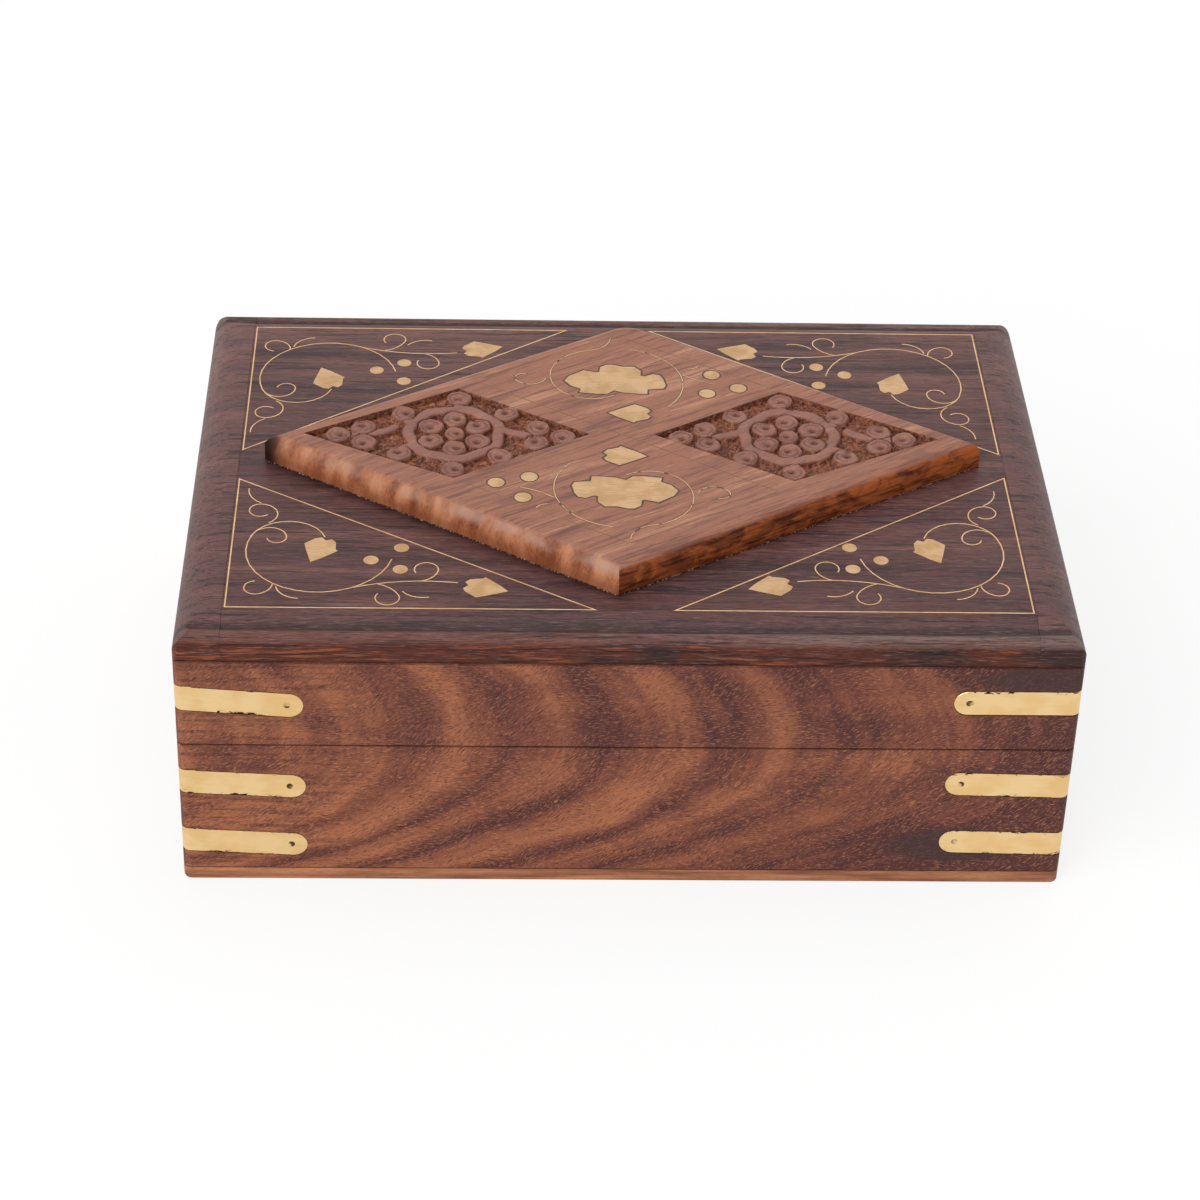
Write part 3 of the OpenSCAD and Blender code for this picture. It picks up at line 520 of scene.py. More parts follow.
def lozengeWood(name):
    look = lozengeLook
    material, shader = newMaterial(name)
    coords = grainCoords((0, 0, -look["grainTurn"]))
    colour, fine, pores, wavy = lozengeGrain(coords)
    facing = axesOf("Normal")
    spot = axesOf()
    leftColour = bandedSide()
    rightColour = streakedSide(wavy, spot)
    toRight = mapRange(facing[0], -0.04, 0.04)
    sideColour = mixColour(toRight, leftColour, rightColour)
    upTo = mapRange(toRight, 0, 1, *look["sideUpTo"])
    onSide = mapRange(minus(upTo, facing[2]), *look["sideFade"])
    colour = mixColour(onSide, colour, sideColour)
    tip = times(mapRange(spot[0], *look["burntFrom"]), onSide)
    colour = mixColour(tip, colour, look["burnt"])
    specks = noiseMask(coords, (1.0, 0.7, 0.9), 0.52, 0.62, 1.0, 3.0, 0.7, shift=(3, 1, 1))
    atFoot = mapRange(spot[2], *look["glueHeights"], 0, look["glueAmount"])
    # Painted shade along the lozenge's foot, where it meets the lid, in the colour of the burnt tip
    foot = joints["lozengeFoot"]
    colour = jointLine(colour, foot, look["jointWidth"], look["jointDark"], look["burnt"])
    colour = mixColour(times(specks, atFoot), colour, look["glue"])
    shine = mapRange(onSide, 0, 1, look["shine"], look["sideShine"])
    setFinish(shader, colour, fine, look["roughness"], shine)
    bumpFrom(shader, minus(fine, pores), 0.35, 0.07)
    return material


# The carved panels: tan polished tops on a rough, redder ground. The attribute relief is the
# height over the ground, from 0 to 1. The other attribute is the depth of a cut line; it darkens the cut
# lines and the rims round the discs as painted shade.
def carvedWood(name):
    look = lozengeLook
    material, shader = newMaterial(name)
    coords = grainCoords((0, 0, -look["grainTurn"]))
    top, fine, *_ = lozengeGrain(coords)
    top = mixColour(0.55, top, look["carvedTop"])
    chips = grainNoise(coords, (1.2, 1.2, 1.2), 3.0, 0.65)
    flakes = grainNoise(coords, (2.4, 0.8, 1.2), 2.0, 0.6, 0.8, (4, 2, 6))
    ground = mixColour(mapRange(chips, 0.40, 0.60), look["groundDark"], look["ground"])
    ground = tinted(ground, flakes, 0.54, 0.66, 0.6, look["chip"])
    height = shaderNode("Attribute", attribute_name="relief").outputs["Fac"]
    grooveShade = shaderNode("Attribute", attribute_name="grooveShade").outputs["Fac"]
    colour = mixColour(mapRange(height, 0.40, 0.82), ground, top)
    # Painted shade in the cut lines and round the discs
    colour = tinted(colour, grooveShade, 0.1, 0.8, 0.75, look["groundDark"])
    feed(shader.inputs["Base Color"], colour)
    feed(shader.inputs["Roughness"], mapRange(height, 0.5, 0.9, 0.62, 0.42))
    feed(shader.inputs["Specular IOR Level"], look["shine"])
    bumpFrom(shader, plus(chips, fine), 0.6, 0.16)
    return material


# Bottom board: plain orange-brown wood with long fibres
boardLook = {
    "dark": (0.150, 0.050, 0.022), "mid": (0.300, 0.110, 0.048), "light": (0.430, 0.180, 0.085),
    "roughness": (0.45, 0.6), "shine": 0.35,
}


def boardWood(name):
    look = boardLook
    material, shader = newMaterial(name)
    coords = grainCoords()
    wavy = warped(coords, (50, 12, 12), (0, 1.5, 1.5))
    tone = grainNoise(wavy, (40, 2.2, 2.2), 4.0, 0.65)
    colour = colourRamp(tone, [(0.36, look["dark"]), (0.50, look["mid"]), (0.66, look["light"])])
    pores = noiseMask(wavy, (2.6, 0.3, 0.3), 0.52, 0.70, 0.5, 2.0, shift=(4, 9, 2))
    colour = mixColour(pores, colour, look["dark"])
    setFinish(shader, colour, tone, look["roughness"], look["shine"])
    bumpFrom(shader, minus(tone, pores), 0.3, 0.08)
    return material


# Brass, rubbed down with paper: fine lines along the metal and a few deeper scratches
brassLook = {
    "metal": (0.790, 0.520, 0.225), "pale": (0.850, 0.600, 0.300), "worn": (0.520, 0.310, 0.120),
    "inlay": (0.500, 0.305, 0.150), "inlayPale": (0.590, 0.385, 0.210), "scratch": (0.270, 0.150, 0.075),
    "residue": (0.035, 0.018, 0.014), "roughness": (0.34, 0.48),
}


# cover is the share of the metal that dark polish hides, gain makes the metal brighter
def inlayBrass(name, cover=0.0, gain=1.0):
    look = brassLook
    material, shader = newMaterial(name)
    coords = grainCoords((0, 0, 3))
    rub = grainNoise(coords, (6, 0.16, 2), 3.0, 0.6)
    patch = grainNoise(coords, (5, 5, 5))
    metal, pale = ([gain * c for c in look[k]] for k in ("inlay", "inlayPale"))
    colour = mixColour(mapRange(patch, 0.35, 0.65), metal, pale)
    colour = tinted(colour, rub, 0.56, 0.66, 0.7, look["scratch"])
    if cover:
        dull = grainNoise(coords, (4, 4, 4), 2.0, 0.6, 0.0, (3, 3, 3))
        limit = 0.62 - 0.24 * cover
        colour = tinted(colour, dull, limit - 0.05, limit + 0.05, 0.88, look["residue"])
    setFinish(shader, colour, rub, look["roughness"], metal=1.0)
    bumpFrom(shader, rub, 0.25, 0.03)
    return material


# Straps read their own UV map: U runs along the leg and V across it, both from 0 to 1
def strapBrass(name):
    look = brassLook
    material, shader = newMaterial(name)
    sheet = shaderNode("TexCoord").outputs["UV"]
    coords = grainCoords()
    lines = grainNoise(sheet, (1 / 2.5, 1 / 34, 1), 3.0)
    patch = grainNoise(coords, (9, 9, 6))
    colour = mixColour(mapRange(patch, 0.35, 0.65), look["metal"], look["pale"])
    colour = tinted(colour, lines, 0.58, 0.74, 0.35, look["worn"])
    fromMiddle = mathNode("ABSOLUTE", minus(axesOf(sheet)[1], 0.5))
    smear = grainNoise(coords, (2.6, 2.6, 0.8), 4.0, 0.7, 0.6)
    places = grainNoise(coords, (12, 12, 7), 1.0, 0.5, 0.0, (4, 2, 8))
    reach = times(minus(fromMiddle, 0.30), 1.4)
    amount = plus(plus(smear, reach), times(places, 0.5))
    residue = mapRange(amount, 1.03, 1.10)
    colour = mixColour(residue, colour, look["residue"])
    feed(shader.inputs["Base Color"], colour)
    feed(shader.inputs["Metallic"], 1.0)
    rough = plus(mapRange(lines, 0.3, 0.7, 0.28, 0.42), times(residue, 0.3))
    feed(shader.inputs["Roughness"], rough)
    bumpFrom(shader, lines, 0.2, 0.03)
    return material


def plainMetal(name, colour, roughness):
    material, shader = newMaterial(name)
    coords = grainCoords()
    rub = grainNoise(coords, (3, 0.5, 0.5), 3.0, 0.6)
    dull = tinted(colour, rub, 0.3, 0.75, 0.5, brassLook["worn"])
    setFinish(shader, dull, rub, (roughness, roughness + 0.14), metal=1.0)
    bumpFrom(shader, rub, 0.2, 0.05)
    return material


# Dark filler is a matt paste with a grainy surface
def paste(name, dark, light, roughness):
    material, shader = newMaterial(name)
    coords = grainCoords()
    grain = grainNoise(coords, (0.5, 0.5, 0.5), 3.0, 0.6)
    feed(shader.inputs["Base Color"], mixColour(grain, dark, light))
    feed(shader.inputs["Roughness"], roughness)
    bumpFrom(shader, grain, 0.4, 0.05)
    return material


velvetLook = {"deep": (0.085, 0.004, 0.010), "lit": (0.230, 0.012, 0.026)}


def velvet(name):
    material, shader = newMaterial(name)
    coords = grainCoords()
    pile = grainNoise(coords, (0.25, 0.25, 0.25), 2.0, 0.6)
    brushed = grainNoise(coords, (26, 18, 18), 3.0, 0.55, 0.8)
    tone = plus(times(pile, 0.4), times(brushed, 0.6))
    colour = mixColour(mapRange(tone, 0.36, 0.64), velvetLook["deep"], velvetLook["lit"])
    for title, value in {
            "Base Color": colour, "Roughness": 0.95, "Specular IOR Level": 0.1, "Sheen Weight": 0.6,
            "Sheen Roughness": 0.4, "Sheen Tint": (0.8, 0.2, 0.25, 1)}.items():
        feed(shader.inputs[title], value)
    bumpFrom(shader, pile, 0.6, 0.12)
    return material


woods = {
    "front": wallWood("wallWoodFront", (0, 0, 0), (0.0, 0, 0)),
    "side": wallWood("wallWoodSide", (0, 0, 90), (4.2, 1.5, 0)),
    "lidTop": lidWood("lidTopWood", (0, 0, 0), (0, 0, 0)),
    "lidEnd": lidWood("lidEndWood", (0, 0, 0), (3.1, 7.3, 2.2), 0.35),
    "lozenge": lozengeWood("lozengeWood"),
    "carved": carvedWood("carvedWood"),
    "bottom": boardWood("bottomBoardWood"),
}
metals = {
    "inlay": inlayBrass("inlayBrass"),
    "wire": inlayBrass("wireBrass", 0.0, 1.3),
    "lozengeWire": inlayBrass("lozengeWireBrass", 0.06, 1.1),
    "lozengeLine": inlayBrass("lozengeLineBrass", 0.0, 0.4),
    "strap": strapBrass("strapBrass"),
    "hinge": plainMetal("hingeBrass", (0.68, 0.51, 0.27), 0.32),
    "nail": inlayBrass("nailBrass", 0.6, 1.4),
}
filler = paste("darkFiller", (0.035, 0.014, 0.010), (0.085, 0.035, 0.026), 0.6)
lining = velvet("liningVelvet")
print("materials made")

# Camera, matched to the photograph
photoView = {
    "lens": 100.23, "sensor": 36.0, "pitch": 35.088, "yaw": 2.415, "roll": 1.855,
    "place": (-0.0407, -0.83465, 0.6246),
}


def makeCamera(view):
    pitch, yaw, roll = (math.radians(view[k]) for k in ("pitch", "yaw", "roll"))
    ahead = Vector((math.sin(yaw) * math.cos(pitch), math.cos(yaw) * math.cos(pitch), -math.sin(pitch)))
    level = Vector((math.cos(yaw), -math.sin(yaw), 0))
    upright = level.cross(ahead)
    right = math.cos(roll) * level + math.sin(roll) * upright
    up = math.cos(roll) * upright - math.sin(roll) * level
    bpy.ops.object.camera_add()
    camera = bpy.context.object
    camera.name = "photoCamera"
    camera.data.lens = view["lens"]
    camera.data.sensor_width = view["sensor"]
    camera.data.clip_start = 0.01
    turn = Matrix((right, up, -ahead)).transposed()
    camera.matrix_world = Matrix.Translation(view["place"]) @ turn.to_4x4()
    bpy.context.scene.camera = camera


# White studio: a broad soft light above and a weaker one in front
studio = {
    "worldLevel": 0.46, "keyStrength": 2.3, "keyFrom": (-0.55, -0.62, 0.56), "keySpread": 60,
    "fillStrength": 0.8, "fillFrom": (0.1, 0.25, 0.95), "fillSpread": 40,
    "floorSize": 8.0, "floorColour": 0.93, "floorGlow": 0.78,
}


def addSun(name, strength, source, spread):
    turn = Vector(source).to_track_quat("Z", "Y").to_euler()
    bpy.ops.object.light_add(type="SUN", rotation=turn)
    lamp = bpy.context.object
    lamp.name = name
    lamp.data.energy = strength
    lamp.data.angle = math.radians(spread)


def seenWhite():
    path = shaderNode("LightPath")
    seen = mathNode("MAXIMUM", path.outputs["Is Camera Ray"], path.outputs["Is Glossy Ray"])
    return mathNode("MAXIMUM", seen, path.outputs["Is Transmission Ray"])


def makeStudio(settings):
    global tree
    world = bpy.data.worlds.new("studioWorld")
    bpy.context.scene.world = world
    world.use_nodes = True
    tree = world.node_tree
    level = shaderNode("MapRange", {
        "Value": seenWhite(), "To Min": settings["worldLevel"], "To Max": 1.0}).outputs[0]
    sky = tree.nodes["Background"]
    feed(sky.inputs["Strength"], level)
    feed(sky.inputs["Color"], (1, 1, 1, 1))
    addSun("keyLight", settings["keyStrength"], settings["keyFrom"], settings["keySpread"])
    addSun("fillLight", settings["fillStrength"], settings["fillFrom"], settings["fillSpread"])
    bpy.ops.mesh.primitive_plane_add(size=settings["floorSize"])
    floor = bpy.context.object
    floor.name = "studioFloor"
    material, shader = newMaterial("studioFloorPaper")
    feed(shader.inputs["Base Color"], (*[settings["floorColour"]] * 3, 1))
    feed(shader.inputs["Roughness"], 1.0)
    feed(shader.inputs["Specular IOR Level"], 0.0)
    white = shaderNode("Emission", {"Color": (1, 1, 1, 1), "Strength": 1.0})
    share = times(seenWhite(), settings["floorGlow"])
    mixed = shaderNode("MixShader", {0: share, 1: shader.outputs[0], 2: white.outputs[0]})
    feed(tree.nodes["Material Output"].inputs["Surface"], mixed.outputs[0])
    useMaterial(floor, material)


makeCamera(photoView)
makeStudio(studio)
bpy.context.scene.view_settings.view_transform = "Standard"
print("camera and studio made")

# Sizes read from the frame
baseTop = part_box("base_front_wall")[1].z
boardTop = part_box("base_bottom_board")[1].z
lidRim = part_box("lid_front_rail")[0].z
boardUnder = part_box("lid_top_panel")[0].z
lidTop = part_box("lid_top_panel")[1].z
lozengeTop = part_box("lozenge_plate")[1].z
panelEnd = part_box("lid_top_panel")[1].x
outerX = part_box("base_bottom_board")[1].x
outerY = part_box("base_bottom_board")[1].y
near = 0.02 * mm


def atHeight(*heights):
    return lambda a, b: any(abs(a.z - h) < near and abs(b.z - h) < near for h in heights)


def onOutside(point):
    cornerZone = 2.6 * mm
    return abs(point.x) > outerX - cornerZone or abs(point.y) > outerY - cornerZone


def outerRim(*heights):
    level = atHeight(*heights)
    return lambda a, b: level(a, b) and onOutside(a) and onOutside(b)


# Walls, rails and boards get their long outer edges eased, as sanding leaves them. The wood lies
# lower than the brass set in it by the drops.
easing = {
    "rim": 0.28 * mm, "lidRim": 0.14 * mm, "boardEdge": 0.55 * mm, "seam": 0.09 * mm,
    "lidDrop": 0.02 * mm, "lozengeDrop": 0.03 * mm, "lining": 0.45 * mm,
}


def easedWood(nodeName, body, slotName, material, width, test):
    piece = copyOf(nodeName)
    softenEdges(piece, width, test)
    smoothFaces(piece)
    useMaterial(piece, material)
    place(piece, body, slotName, nodeName)


for side, wood in (("front", "front"), ("back", "front"), ("left", "side"), ("right", "side")):
    easedWood("base_" + side + "_wall", "base", "wall_wood", woods[wood], easing["rim"],
              outerRim(boardTop, baseTop))
    easedWood("lid_" + side + "_rail", "lid", "wall_wood", woods[wood], easing["rim"],
              outerRim(lidRim, boardUnder))
easedWood("base_bottom_board", "base", "bottom_wood", woods["bottom"], easing["boardEdge"],
          outerRim(0, boardTop))
print("walls and rails eased")


def lowerTop(piece, level, drop):
    for vertex in piece.data.vertices:
        if vertex.co.z > level - near:
            vertex.co.z = level - drop


# The bead along the front and back is broader than in the plan, with a deeper crease behind it.
# Each point has its distance from the face in the plan, its distance here, and how far the wood
# drops there. The end strips keep their height. The change begins at the height beadFrom and is
# whole from beadFull up. All are in millimetres.
beadShape = [(0, 0, 0), (2.2, 3.0, 0), (2.95, 4.9, 0.55), (11, 11, 0)]
beadFrom, beadFull = 81.6, 84.5


def broadenBead(piece):
    planned, drawn, drops = zip(*beadShape)
    for vertex in piece.data.vertices:
        point = vertex.co
        share = min(1, max(0, (point.z / mm - beadFrom) / (beadFull - beadFrom)))
        inside = (outerY - abs(point.y)) / mm
        if inside > planned[-1]:
            continue
        moved = float(np.interp(inside, planned, drawn)) - inside
        point.y -= math.copysign(share * moved * mm, point.y)
        if abs(point.x) < panelEnd + near:
            point.z -= share * float(np.interp(inside, planned, drops)) * mm


def onSeam(a, b):
    return all(abs(abs(p.x) - panelEnd) < near and p.z > boardUnder + near for p in (a, b))


for nodeName, wood in (("lid_top_panel", "lidTop"), ("lid_end_strip_left", "lidEnd"),
                       ("lid_end_strip_right", "lidEnd")):
    piece = copyOf(nodeName)
    lowerTop(piece, lidTop, easing["lidDrop"])
    broadenBead(piece)
    softenEdges(piece, easing["seam"], onSeam, segments=1)
    softenEdges(piece, easing["lidRim"], outerRim(boardUnder))
    smoothFaces(piece, 26)
    useMaterial(piece, woods[wood])
    place(piece, "lid", "lid_wood", nodeName)
print("lid top made")

# The lozenge and its two carved panels, in millimetres. All places are counted from the crossing
# of its long lines. A stalk has its start, its heading, and the radius and turn of each arc.
carving = {
    "crossing": (-0.5, 1.8), "corners": [(-94, -1), (-48.5, 25), (-9.5, 0), (-49.5, -24.5)],
    "cells": 190, "depth": 2.1, "floorUnder": 0.7, "shrink": 0.998, "topUnder": 0.05, "rimRelief": 0.6,
    "gougeGround": 0.50, "gougeTop": 0.08,
    "rosette": (-49.5, 0.4), "petalRing": 8.0, "discRadius": 3.8, "eyeRadius": 3.2,
    "ringRadius": 13.3, "ringWidth": 3.8, "ringWander": 0.5, "stalkWidth": 3.1,
    "discs": [(-84, -0.6), (-76.5, 3.6), (-76, -4.6), (-64.8, 11.4), (-65.6, -10.8), (-48.3, 20.2),
              (-49.8, -19), (-34.2, 11.6), (-36, -11.6), (-24.8, 4), (-25.4, -4.2), (-17.4, -0.6)],
    "stalks": [((-80, -0.4), 0, ((30, 14), (12, 30))), ((-64.4, 8.6), -50, ((10, 30),)),
               ((-64.6, -8), 40, ((10, -30),)), ((-48.6, 17.4), -90, ((20, 10),)),
               ((-49.8, -16.2), 92, ((20, -10),)), ((-36, 9.4), 230, ((10, -24),)),
               ((-37.4, -9.6), 130, ((10, 24),)), ((-28, 0), 170, ((20, -20),))],
}


# Points along a stalk, one for every few degrees of its arcs
def strokePoints(start, heading, arcs, step=4.0):
    x, y = start
    points = [(x, y)]
    for radius, sweep in arcs:
        steps = max(2, math.ceil(abs(sweep) / step))
        for _ in range(steps):
            heading += sweep / steps / 2
            chord = 2 * radius * math.sin(math.radians(abs(sweep) / steps / 2))
            x += chord * math.cos(math.radians(heading))
            y += chord * math.sin(math.radians(heading))
            heading += sweep / steps / 2
            points.append((x, y))
    return points


def smoothStep(value, low, high):
    t = np.clip((value - low) / (high - low), 0, 1)
    return t * t * (3 - 2 * t)


# Heights below the plate's top and depths of cut lines, in millimetres, at an array of places. The depths of
# the cut lines are painted as shade in them.
def discHeight(x, y, centre, radius, turn):
    dx, dy = x - centre[0], y - centre[1]
    angle = np.arctan2(dy, dx) - turn
    t = np.hypot(dx, dy) / radius * (1 + 0.05 * np.cos(2 * angle) + 0.03 * np.cos(5 * angle + turn))
    winding = np.mod(angle, 2 * np.pi) / (2 * np.pi)
    cut = np.exp(-((t - 0.40 - 0.40 * winding) / 0.12) ** 2) * smoothStep(winding, 0.2, 0.5)
    pit = np.hypot(dx - 0.22 * radius * math.cos(turn), dy - 0.22 * radius * math.sin(turn)) / radius
    height = -0.12 - 0.30 * np.clip(t - 0.6, 0, 1) ** 2 * 4
    height -= 0.34 * cut + 0.95 * np.exp(-(pit / 0.42) ** 2)
    grooveShade = np.maximum(0.55 * cut, 0.75 * np.exp(-(pit / 0.32) ** 2))
    return height - 2.3 * smoothStep(t, 0.86, 1.18), grooveShade * (t < 0.95)


def ridgeHeight(distance, halfWidth, top):
    t = distance / halfWidth
    return top - 0.30 * t ** 2 - 2.3 * smoothStep(t, 0.80, 1.35)


def carvedHeight(x, y):
    plan = carving
    height = np.full(x.shape, -plan["depth"])
    grooveShade = np.zeros(x.shape)
    centre = plan["rosette"]
    angle = np.arctan2(y - centre[1], x - centre[0])
    away = np.hypot(x - centre[0], y - centre[1]) + plan["ringWander"] * np.cos(7 * angle + 0.6)
    height = np.maximum(height, ridgeHeight(np.abs(away - plan["ringRadius"]), plan["ringWidth"] / 2, -0.05))
    for start, heading, arcs in plan["stalks"]:
        line = np.array(strokePoints(start, heading, arcs))
        distance = np.min([np.hypot(x - px, y - py) for px, py in line], axis=0)
        height = np.maximum(height, ridgeHeight(distance, plan["stalkWidth"] / 2, -0.15))
    discs = [(p, plan["discRadius"]) for p in plan["discs"]]
    discs += [((centre[0] + plan["petalRing"] * math.sin(math.radians(60 * i)),
                centre[1] + plan["petalRing"] * math.cos(math.radians(60 * i))), plan["discRadius"])
              for i in range(6)]
    discs.append((centre, plan["eyeRadius"]))
    for number, (p, radius) in enumerate(discs):
        disc, cut = discHeight(x, y, p, radius, 2.1 * number)
        # A dip round each disc, also painted as shade through the cut-line depth
        rim = np.abs(np.hypot(x - p[0], y - p[1]) / radius - 1.06)
        inRim = smoothStep(rim, 0.10, 0.0) * (height > -1.2)
        height = height - 0.7 * inRim
        grooveShade = np.maximum(grooveShade, inRim)
        onDisc = disc > height
        grooveShade = np.where(onDisc, cut, grooveShade)
        height = np.maximum(height, disc)
    return height, grooveShade


# Gouge marks: short random dents, deepest on the ground
def gougeMarks(points, seed):
    def layer(x, y, fineness, level):
        return noise.noise(Vector((x * fineness, y * fineness, level)))

    return np.array([layer(x, y, 1.1, seed) + 0.6 * layer(x, y, 2.6, seed + 5) for x, y in points])


def makeCarvedPanel(pieceName, mirror, seed):
    plan = carving
    cells = plan["cells"]
    bpy.ops.object.select_all(action="DESELECT")
    bpy.ops.mesh.primitive_grid_add(x_subdivisions=cells, y_subdivisions=cells, size=1)
    piece = bpy.context.object
    piece.name = pieceName
    mesh = piece.data
    flat = np.zeros(len(mesh.vertices) * 3)
    mesh.vertices.foreach_get("co", flat)
    u, v = flat.reshape(-1, 3)[:, 0] + 0.5, flat.reshape(-1, 3)[:, 1] + 0.5
    corners = np.array(plan["corners"], float)
    middle = corners.mean(0)
    corners = middle + (corners - middle) * plan["shrink"]
    a, b, c, d = corners
    spots = (np.outer((1 - u) * (1 - v), a) + np.outer(u * (1 - v), b)
             + np.outer(u * v, c) + np.outer((1 - u) * v, d))
    x, y = spots[:, 0], spots[:, 1]
    height, grooveShade = carvedHeight(x, y)
    relief = np.clip((height + plan["depth"]) / plan["depth"], 0, 1)
    gouge = plan["gougeGround"] + (plan["gougeTop"] - plan["gougeGround"]) * relief
    height = np.minimum(height + gougeMarks(spots, seed) * gouge, -plan["topUnder"])
    border = np.minimum(np.minimum(u, 1 - u), np.minimum(v, 1 - v)) < 0.5 / cells
    height[border] = -plan["topUnder"]
    relief[border] = plan["rimRelief"]
    sign = -1 if mirror else 1
    spots = np.column_stack([sign * x + plan["crossing"][0], y + plan["crossing"][1], height])
    spots *= mm
    spots[:, 2] += lozengeTop
    mesh.vertices.foreach_set("co", spots.ravel())
    for title, values in (("relief", relief), ("grooveShade", grooveShade)):
        shade = mesh.attributes.new(title, "FLOAT", "POINT")
        shade.data.foreach_set("value", values)
    selectOnly(piece)
    editMode(mode=(False, True, False))
    bpy.ops.mesh.select_all(action="DESELECT")
    bpy.ops.mesh.select_non_manifold()
    bpy.ops.mesh.extrude_region_move(TRANSFORM_OT_translate={"value": (0, 0, -plan["depth"] * mm)})
    editMode(False)
    foot = lozengeTop - (plan["depth"] + plan["floorUnder"]) * mm
    for vertex in mesh.vertices:
        if vertex.select:
            vertex.co.z = foot
    editMode(mode=(False, True, False))
    bpy.ops.mesh.edge_face_add()
    facesOutwards()
    smoothFaces(piece, 50)
    useMaterial(piece, woods["carved"])
    place(piece, "lid", "lozenge_wood", "lozenge_plate")


# A block with four corners in plan, used to cut the room for a panel
def cutterPrism(corners, low, high):
    bpy.ops.object.select_all(action="DESELECT")
    bpy.ops.mesh.primitive_plane_add(size=1)
    cutter = bpy.context.object
    order = [0, 1, 3, 2]
    for index, (x, y) in zip(order, corners):
        cutter.data.vertices[index].co = (x, y, low)
    selectOnly(cutter)
    editMode(mode=(False, False, True))
    bpy.ops.mesh.select_all(action="SELECT")
    bpy.ops.mesh.extrude_region_move(TRANSFORM_OT_translate={"value": (0, 0, high - low)})
    facesOutwards()
    return cutter


def cutAway(piece, cutter):
    selectOnly(piece)
    cut = piece.modifiers.new("cut", "BOOLEAN")
    cut.operation = "DIFFERENCE"
    cut.solver = "EXACT"
    cut.object = cutter
    bpy.ops.object.modifier_apply(modifier=cut.name)
    bpy.data.objects.remove(cutter)


# How far the lozenge's tips are rounded off in plan, how long a tip is, and how far the left front
# side swells outwards, as a hand-planed one does, in millimetres. The swelling begins at the given
# share of the way from the plate's middle to its edge.
tipRound = {"back": 4.0, "front": 0.6, "side": 1.5, "zone": 9.0}
sideSwell = {"amount": 1.2, "outward": (-0.54, -0.84), "from": 0.84, "fade": 0.1}


# Edges that lie along the mitre of the back tip for sign 1 and of the front tip for sign -1
def onMitre(sign):
    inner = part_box("lozenge_plate")[1].y - tipRound["zone"] * mm

    def test(a, b):
        inTip = all(sign * p.y > inner and abs(p.x) < 8 * mm for p in (a, b))
        return inTip and abs(a.z - b.z) > near and abs(a.x - b.x) < 0.5 * mm
    return test


# Upright edges of the blunt left and right tips
def onSideTip():
    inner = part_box("lozenge_plate")[1].x - tipRound["zone"] * mm

    def test(a, b):
        inTip = all(abs(p.x) > inner for p in (a, b))
        return inTip and abs(a.z - b.z) > near and abs(a.y - b.y) < 0.4 * mm
    return test


def swellSide(piece, shape):
    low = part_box("lozenge_plate")[0]
    for vertex in piece.data.vertices:
        point = vertex.co
        along = point.x / low.x
        edge = along + point.y / low.y
        if 0 < along < 1 and point.y < 0 and edge > shape["from"]:
            share = 4 * along * (1 - along) * min(1, (edge - shape["from"]) / shape["fade"])
            point.x += shape["outward"][0] * share * shape["amount"] * mm
            point.y += shape["outward"][1] * share * shape["amount"] * mm


def makeLozenge():
    plan = carving
    piece = copyOf("lozenge_plate")
    floor = lozengeTop - (plan["depth"] + plan["floorUnder"]) * mm
    for sign in (1, -1):
        corners = [((sign * x + plan["crossing"][0]) * mm, (y + plan["crossing"][1]) * mm)
                   for x, y in plan["corners"]]
        cutAway(piece, cutterPrism(corners, floor, lozengeTop + 1 * mm))
    lowerTop(piece, lozengeTop, easing["lozengeDrop"])
    softenEdges(piece, tipRound["back"] * mm, onMitre(1), 4, 5, True)
    softenEdges(piece, tipRound["front"] * mm, onMitre(-1), 4, 2, True)
    softenEdges(piece, tipRound["side"] * mm, onSideTip(), 4, 3, True)
    swellSide(piece, sideSwell)
    smoothFaces(piece, 26)
    useMaterial(piece, woods["lozenge"])
    place(piece, "lid", "lozenge_wood", "lozenge_plate")


makeLozenge()
makeCarvedPanel("carvedPanelLeft", False, 3.0)
makeCarvedPanel("carvedPanelRight", True, 8.0)
print("lozenge carved")

# Straps, with a UV map that runs along and across each leg. Ease is their share of the pocket's
# width, and softEdge and the other sizes are in millimetres.
strapShape = {"length": 36.0, "width": 8.3, "softEdge": 0.12, "ease": 0.955}


def mapStrap(piece, nodeName):
    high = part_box(nodeName)[1]
    sideX = 1 if high.x > 0 else -1
    sideY = 1 if high.y > 0 else -1
    mesh = piece.data
    layer = mesh.uv_layers.new(name="strapMap")
    across = strapShape["width"] * mm
    points = [vertex.co for vertex in mesh.vertices]
    tipX = min(abs(p.x) for p in points)
    tipY = min(abs(p.y) for p in points)
    sideMiddle = np.mean([p.z for p in points if abs(p.y) < tipY + 1 * mm])
    frontMiddle = np.mean([p.z for p in points if abs(p.x) < tipX + 1 * mm])
    for vertex in mesh.vertices:
        point = vertex.co
        onFront = outerX - abs(point.x) > outerY - abs(point.y)
        run = (outerX - sideX * point.x) / (strapShape["length"] * mm) if onFront else 0
        middle = sideMiddle + (frontMiddle - sideMiddle) * run
        point.z = middle + (point.z - middle) * strapShape["ease"]
    for face in mesh.polygons:
        onFront = abs(face.normal.y) > abs(face.normal.x)
        for loop in face.loop_indices:
            point = mesh.vertices[mesh.loops[loop].vertex_index].co
            run = (outerX - sideX * point.x) if onFront else (outerY - sideY * point.y)
            run = run / (strapShape["length"] * mm)
            middle = sideMiddle + (frontMiddle - sideMiddle) * (run if onFront else 0)
            layer.data[loop].uv = (run, 0.5 + (point.z - middle) / across)


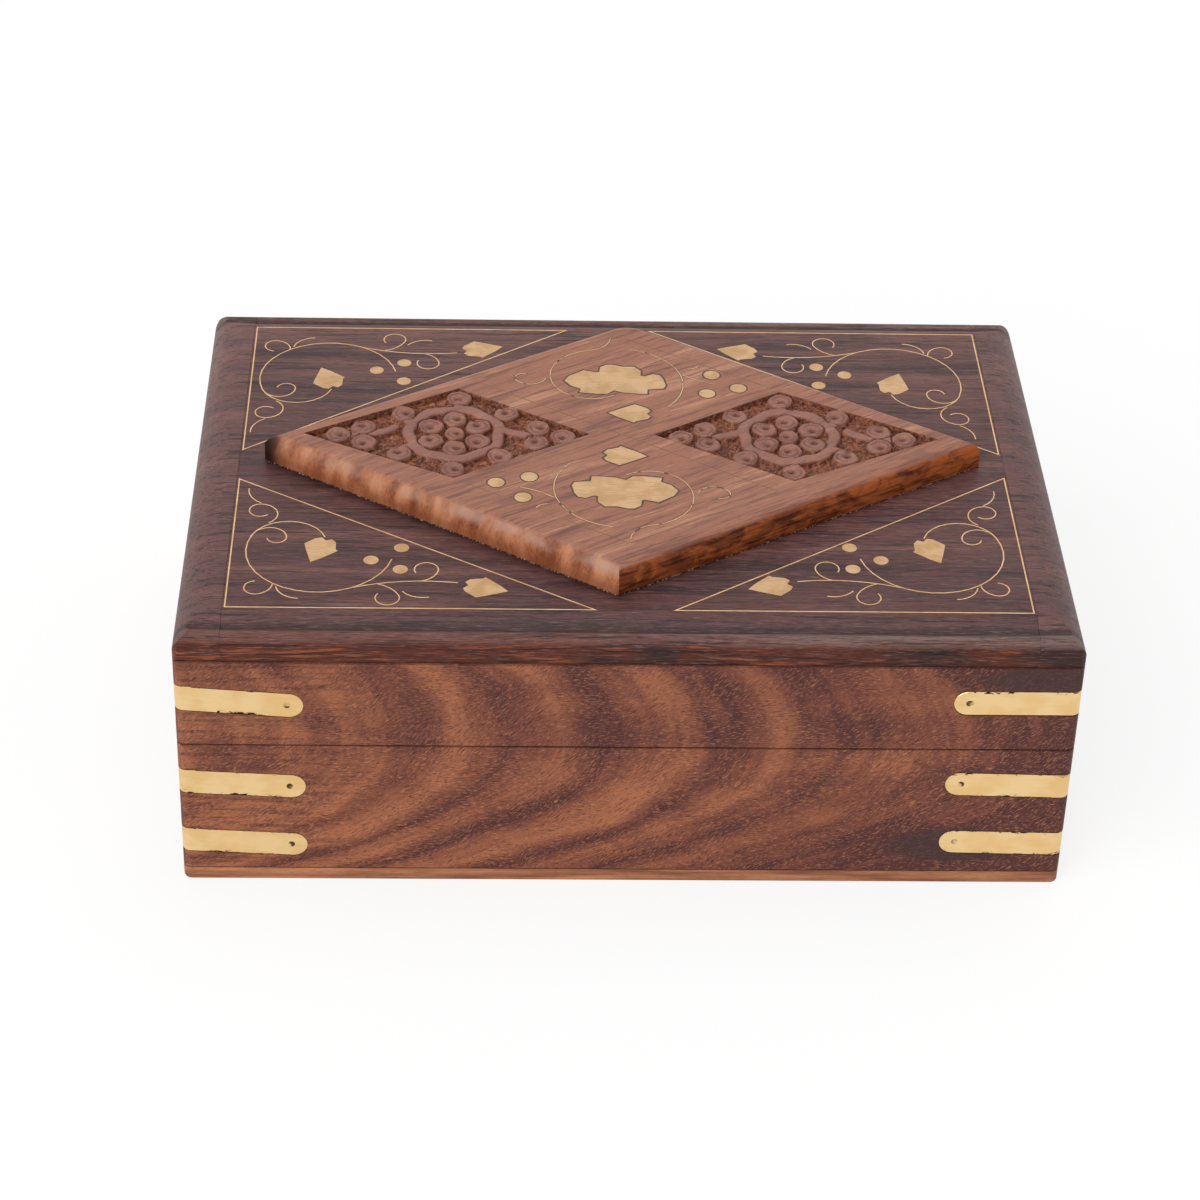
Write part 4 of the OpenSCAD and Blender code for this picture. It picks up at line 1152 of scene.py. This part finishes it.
def makeStraps():
    for level, body in (("base_low", "base"), ("base_high", "base"), ("lid", "lid")):
        for end in ("front", "back"):
            for side in ("left", "right"):
                nodeName = "_".join(("strap", level, end, side))
                piece = copyOf(nodeName)
                softenEdges(piece, strapShape["softEdge"] * mm, lambda a, b: True, 50, 1, True)
                smoothFaces(piece, 30)
                mapStrap(piece, nodeName)
                useMaterial(piece, metals["strap"])
                place(piece, body, "strap_brass", nodeName)


makeStraps()
print("straps made")

# Materials for the CAD nodes that stay as they are
stayingNodes = {
    "inlay": ["lid_leaf_inlays", "lid_dot_inlays", "lozenge_leaf_inlays", "lozenge_dot_inlays"],
    "wire": ["lid_frame_wires", "lid_scroll_wires"],
    "lozengeWire": ["lozenge_scroll_wires"],
    "lozengeLine": ["lozenge_line_wires"],
    "nail": ["strap_nails_base", "strap_nails_lid"],
    "hinge": ["hinge_left_base_leaf", "hinge_right_base_leaf", "hinge_left_lid_leaf",
              "hinge_right_lid_leaf", "hinge_left_pin", "hinge_right_pin",
              "hinge_screws_base", "hinge_screws_lid"],
}
for metal, nodeNames in stayingNodes.items():
    for nodeName in nodeNames:
        useMaterial(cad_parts[nodeName], metals[metal])


# Dark filler shows as a thin uneven rim round the leaves, dots and lozenge wires. Each rim has its
# node, its width and how far it lies under the top, in millimetres.
fillerRims = {
    "lozengeLeafFiller": ("lozenge_leaf_inlays", 0.55, 0.012),
    "lozengeDotFiller": ("lozenge_dot_inlays", 0.42, 0.012),
    "lozengeWireFiller": ("lozenge_scroll_wires", 0.14, 0.012),
    "lidLeafFiller": ("lid_leaf_inlays", 0.14, 0.008),
    "lidDotFiller": ("lid_dot_inlays", 0.12, 0.008),
}


def fillerRim(nodeName, pieceName, slotName, width, level):
    piece = copyOf(nodeName, pieceName)
    mesh = piece.data
    clearSelection(mesh)
    for face in mesh.polygons:
        face.select = face.normal.z < 0.9
    selectOnly(piece)
    editMode(mode=(False, False, True))
    bpy.ops.mesh.delete(type="FACE")
    bpy.ops.mesh.select_all(action="SELECT")
    bpy.ops.mesh.dissolve_limited(angle_limit=math.radians(1))
    editMode(False)
    outlines = [[mesh.vertices[i].co.copy() for i in face.vertices] for face in mesh.polygons]
    verts, faces = [], []
    for outline in outlines:
        count = len(outline)
        first = len(verts)
        for i, point in enumerate(outline):
            before = (point - outline[i - 1]).normalized()
            after = (outline[(i + 1) % count] - point).normalized()
            out = Vector((before.y + after.y, -before.x - after.x, 0))
            if out.length < 1e-6:
                out = Vector((before.y, -before.x, 0))
            stretch = width * (1 + 0.55 * noise.noise(point * 600)) / max(0.6, out.length / 2)
            moved = point + out.normalized() * stretch
            verts += [(point.x, point.y, level), (moved.x, moved.y, level)]
        for i in range(count):
            a, b = first + 2 * i, first + 2 * ((i + 1) % count)
            faces.append((a, a + 1, b + 1, b))
    mesh.clear_geometry()
    mesh.from_pydata(verts, [], faces)
    useMaterial(piece, filler)
    place(piece, "lid", slotName)


for pieceName, (nodeName, width, under) in fillerRims.items():
    onLozenge = pieceName.startswith("lozenge")
    level = (lozengeTop if onLozenge else lidTop) - under * mm
    fillerRim(nodeName, pieceName, "lozenge_wood" if onLozenge else "lid_wood", width * mm, level)
print("filler laid")

# Linings
for nodeName, pieceName, body in (("base_floor_lining", "baseFloorVelvet", "base"),
                                  ("base_wall_linings", "baseWallVelvet", "base"),
                                  ("lid_top_lining", "lidTopVelvet", "lid"),
                                  ("lid_wall_linings", "lidWallVelvet", "lid")):
    piece = copyOf(nodeName, pieceName)
    softenEdges(piece, easing["lining"], lambda a, b: True, 50, 3)
    smoothFaces(piece, 40)
    useMaterial(piece, lining)
    place(piece, body, "velvet", nodeName)
print("linings made")
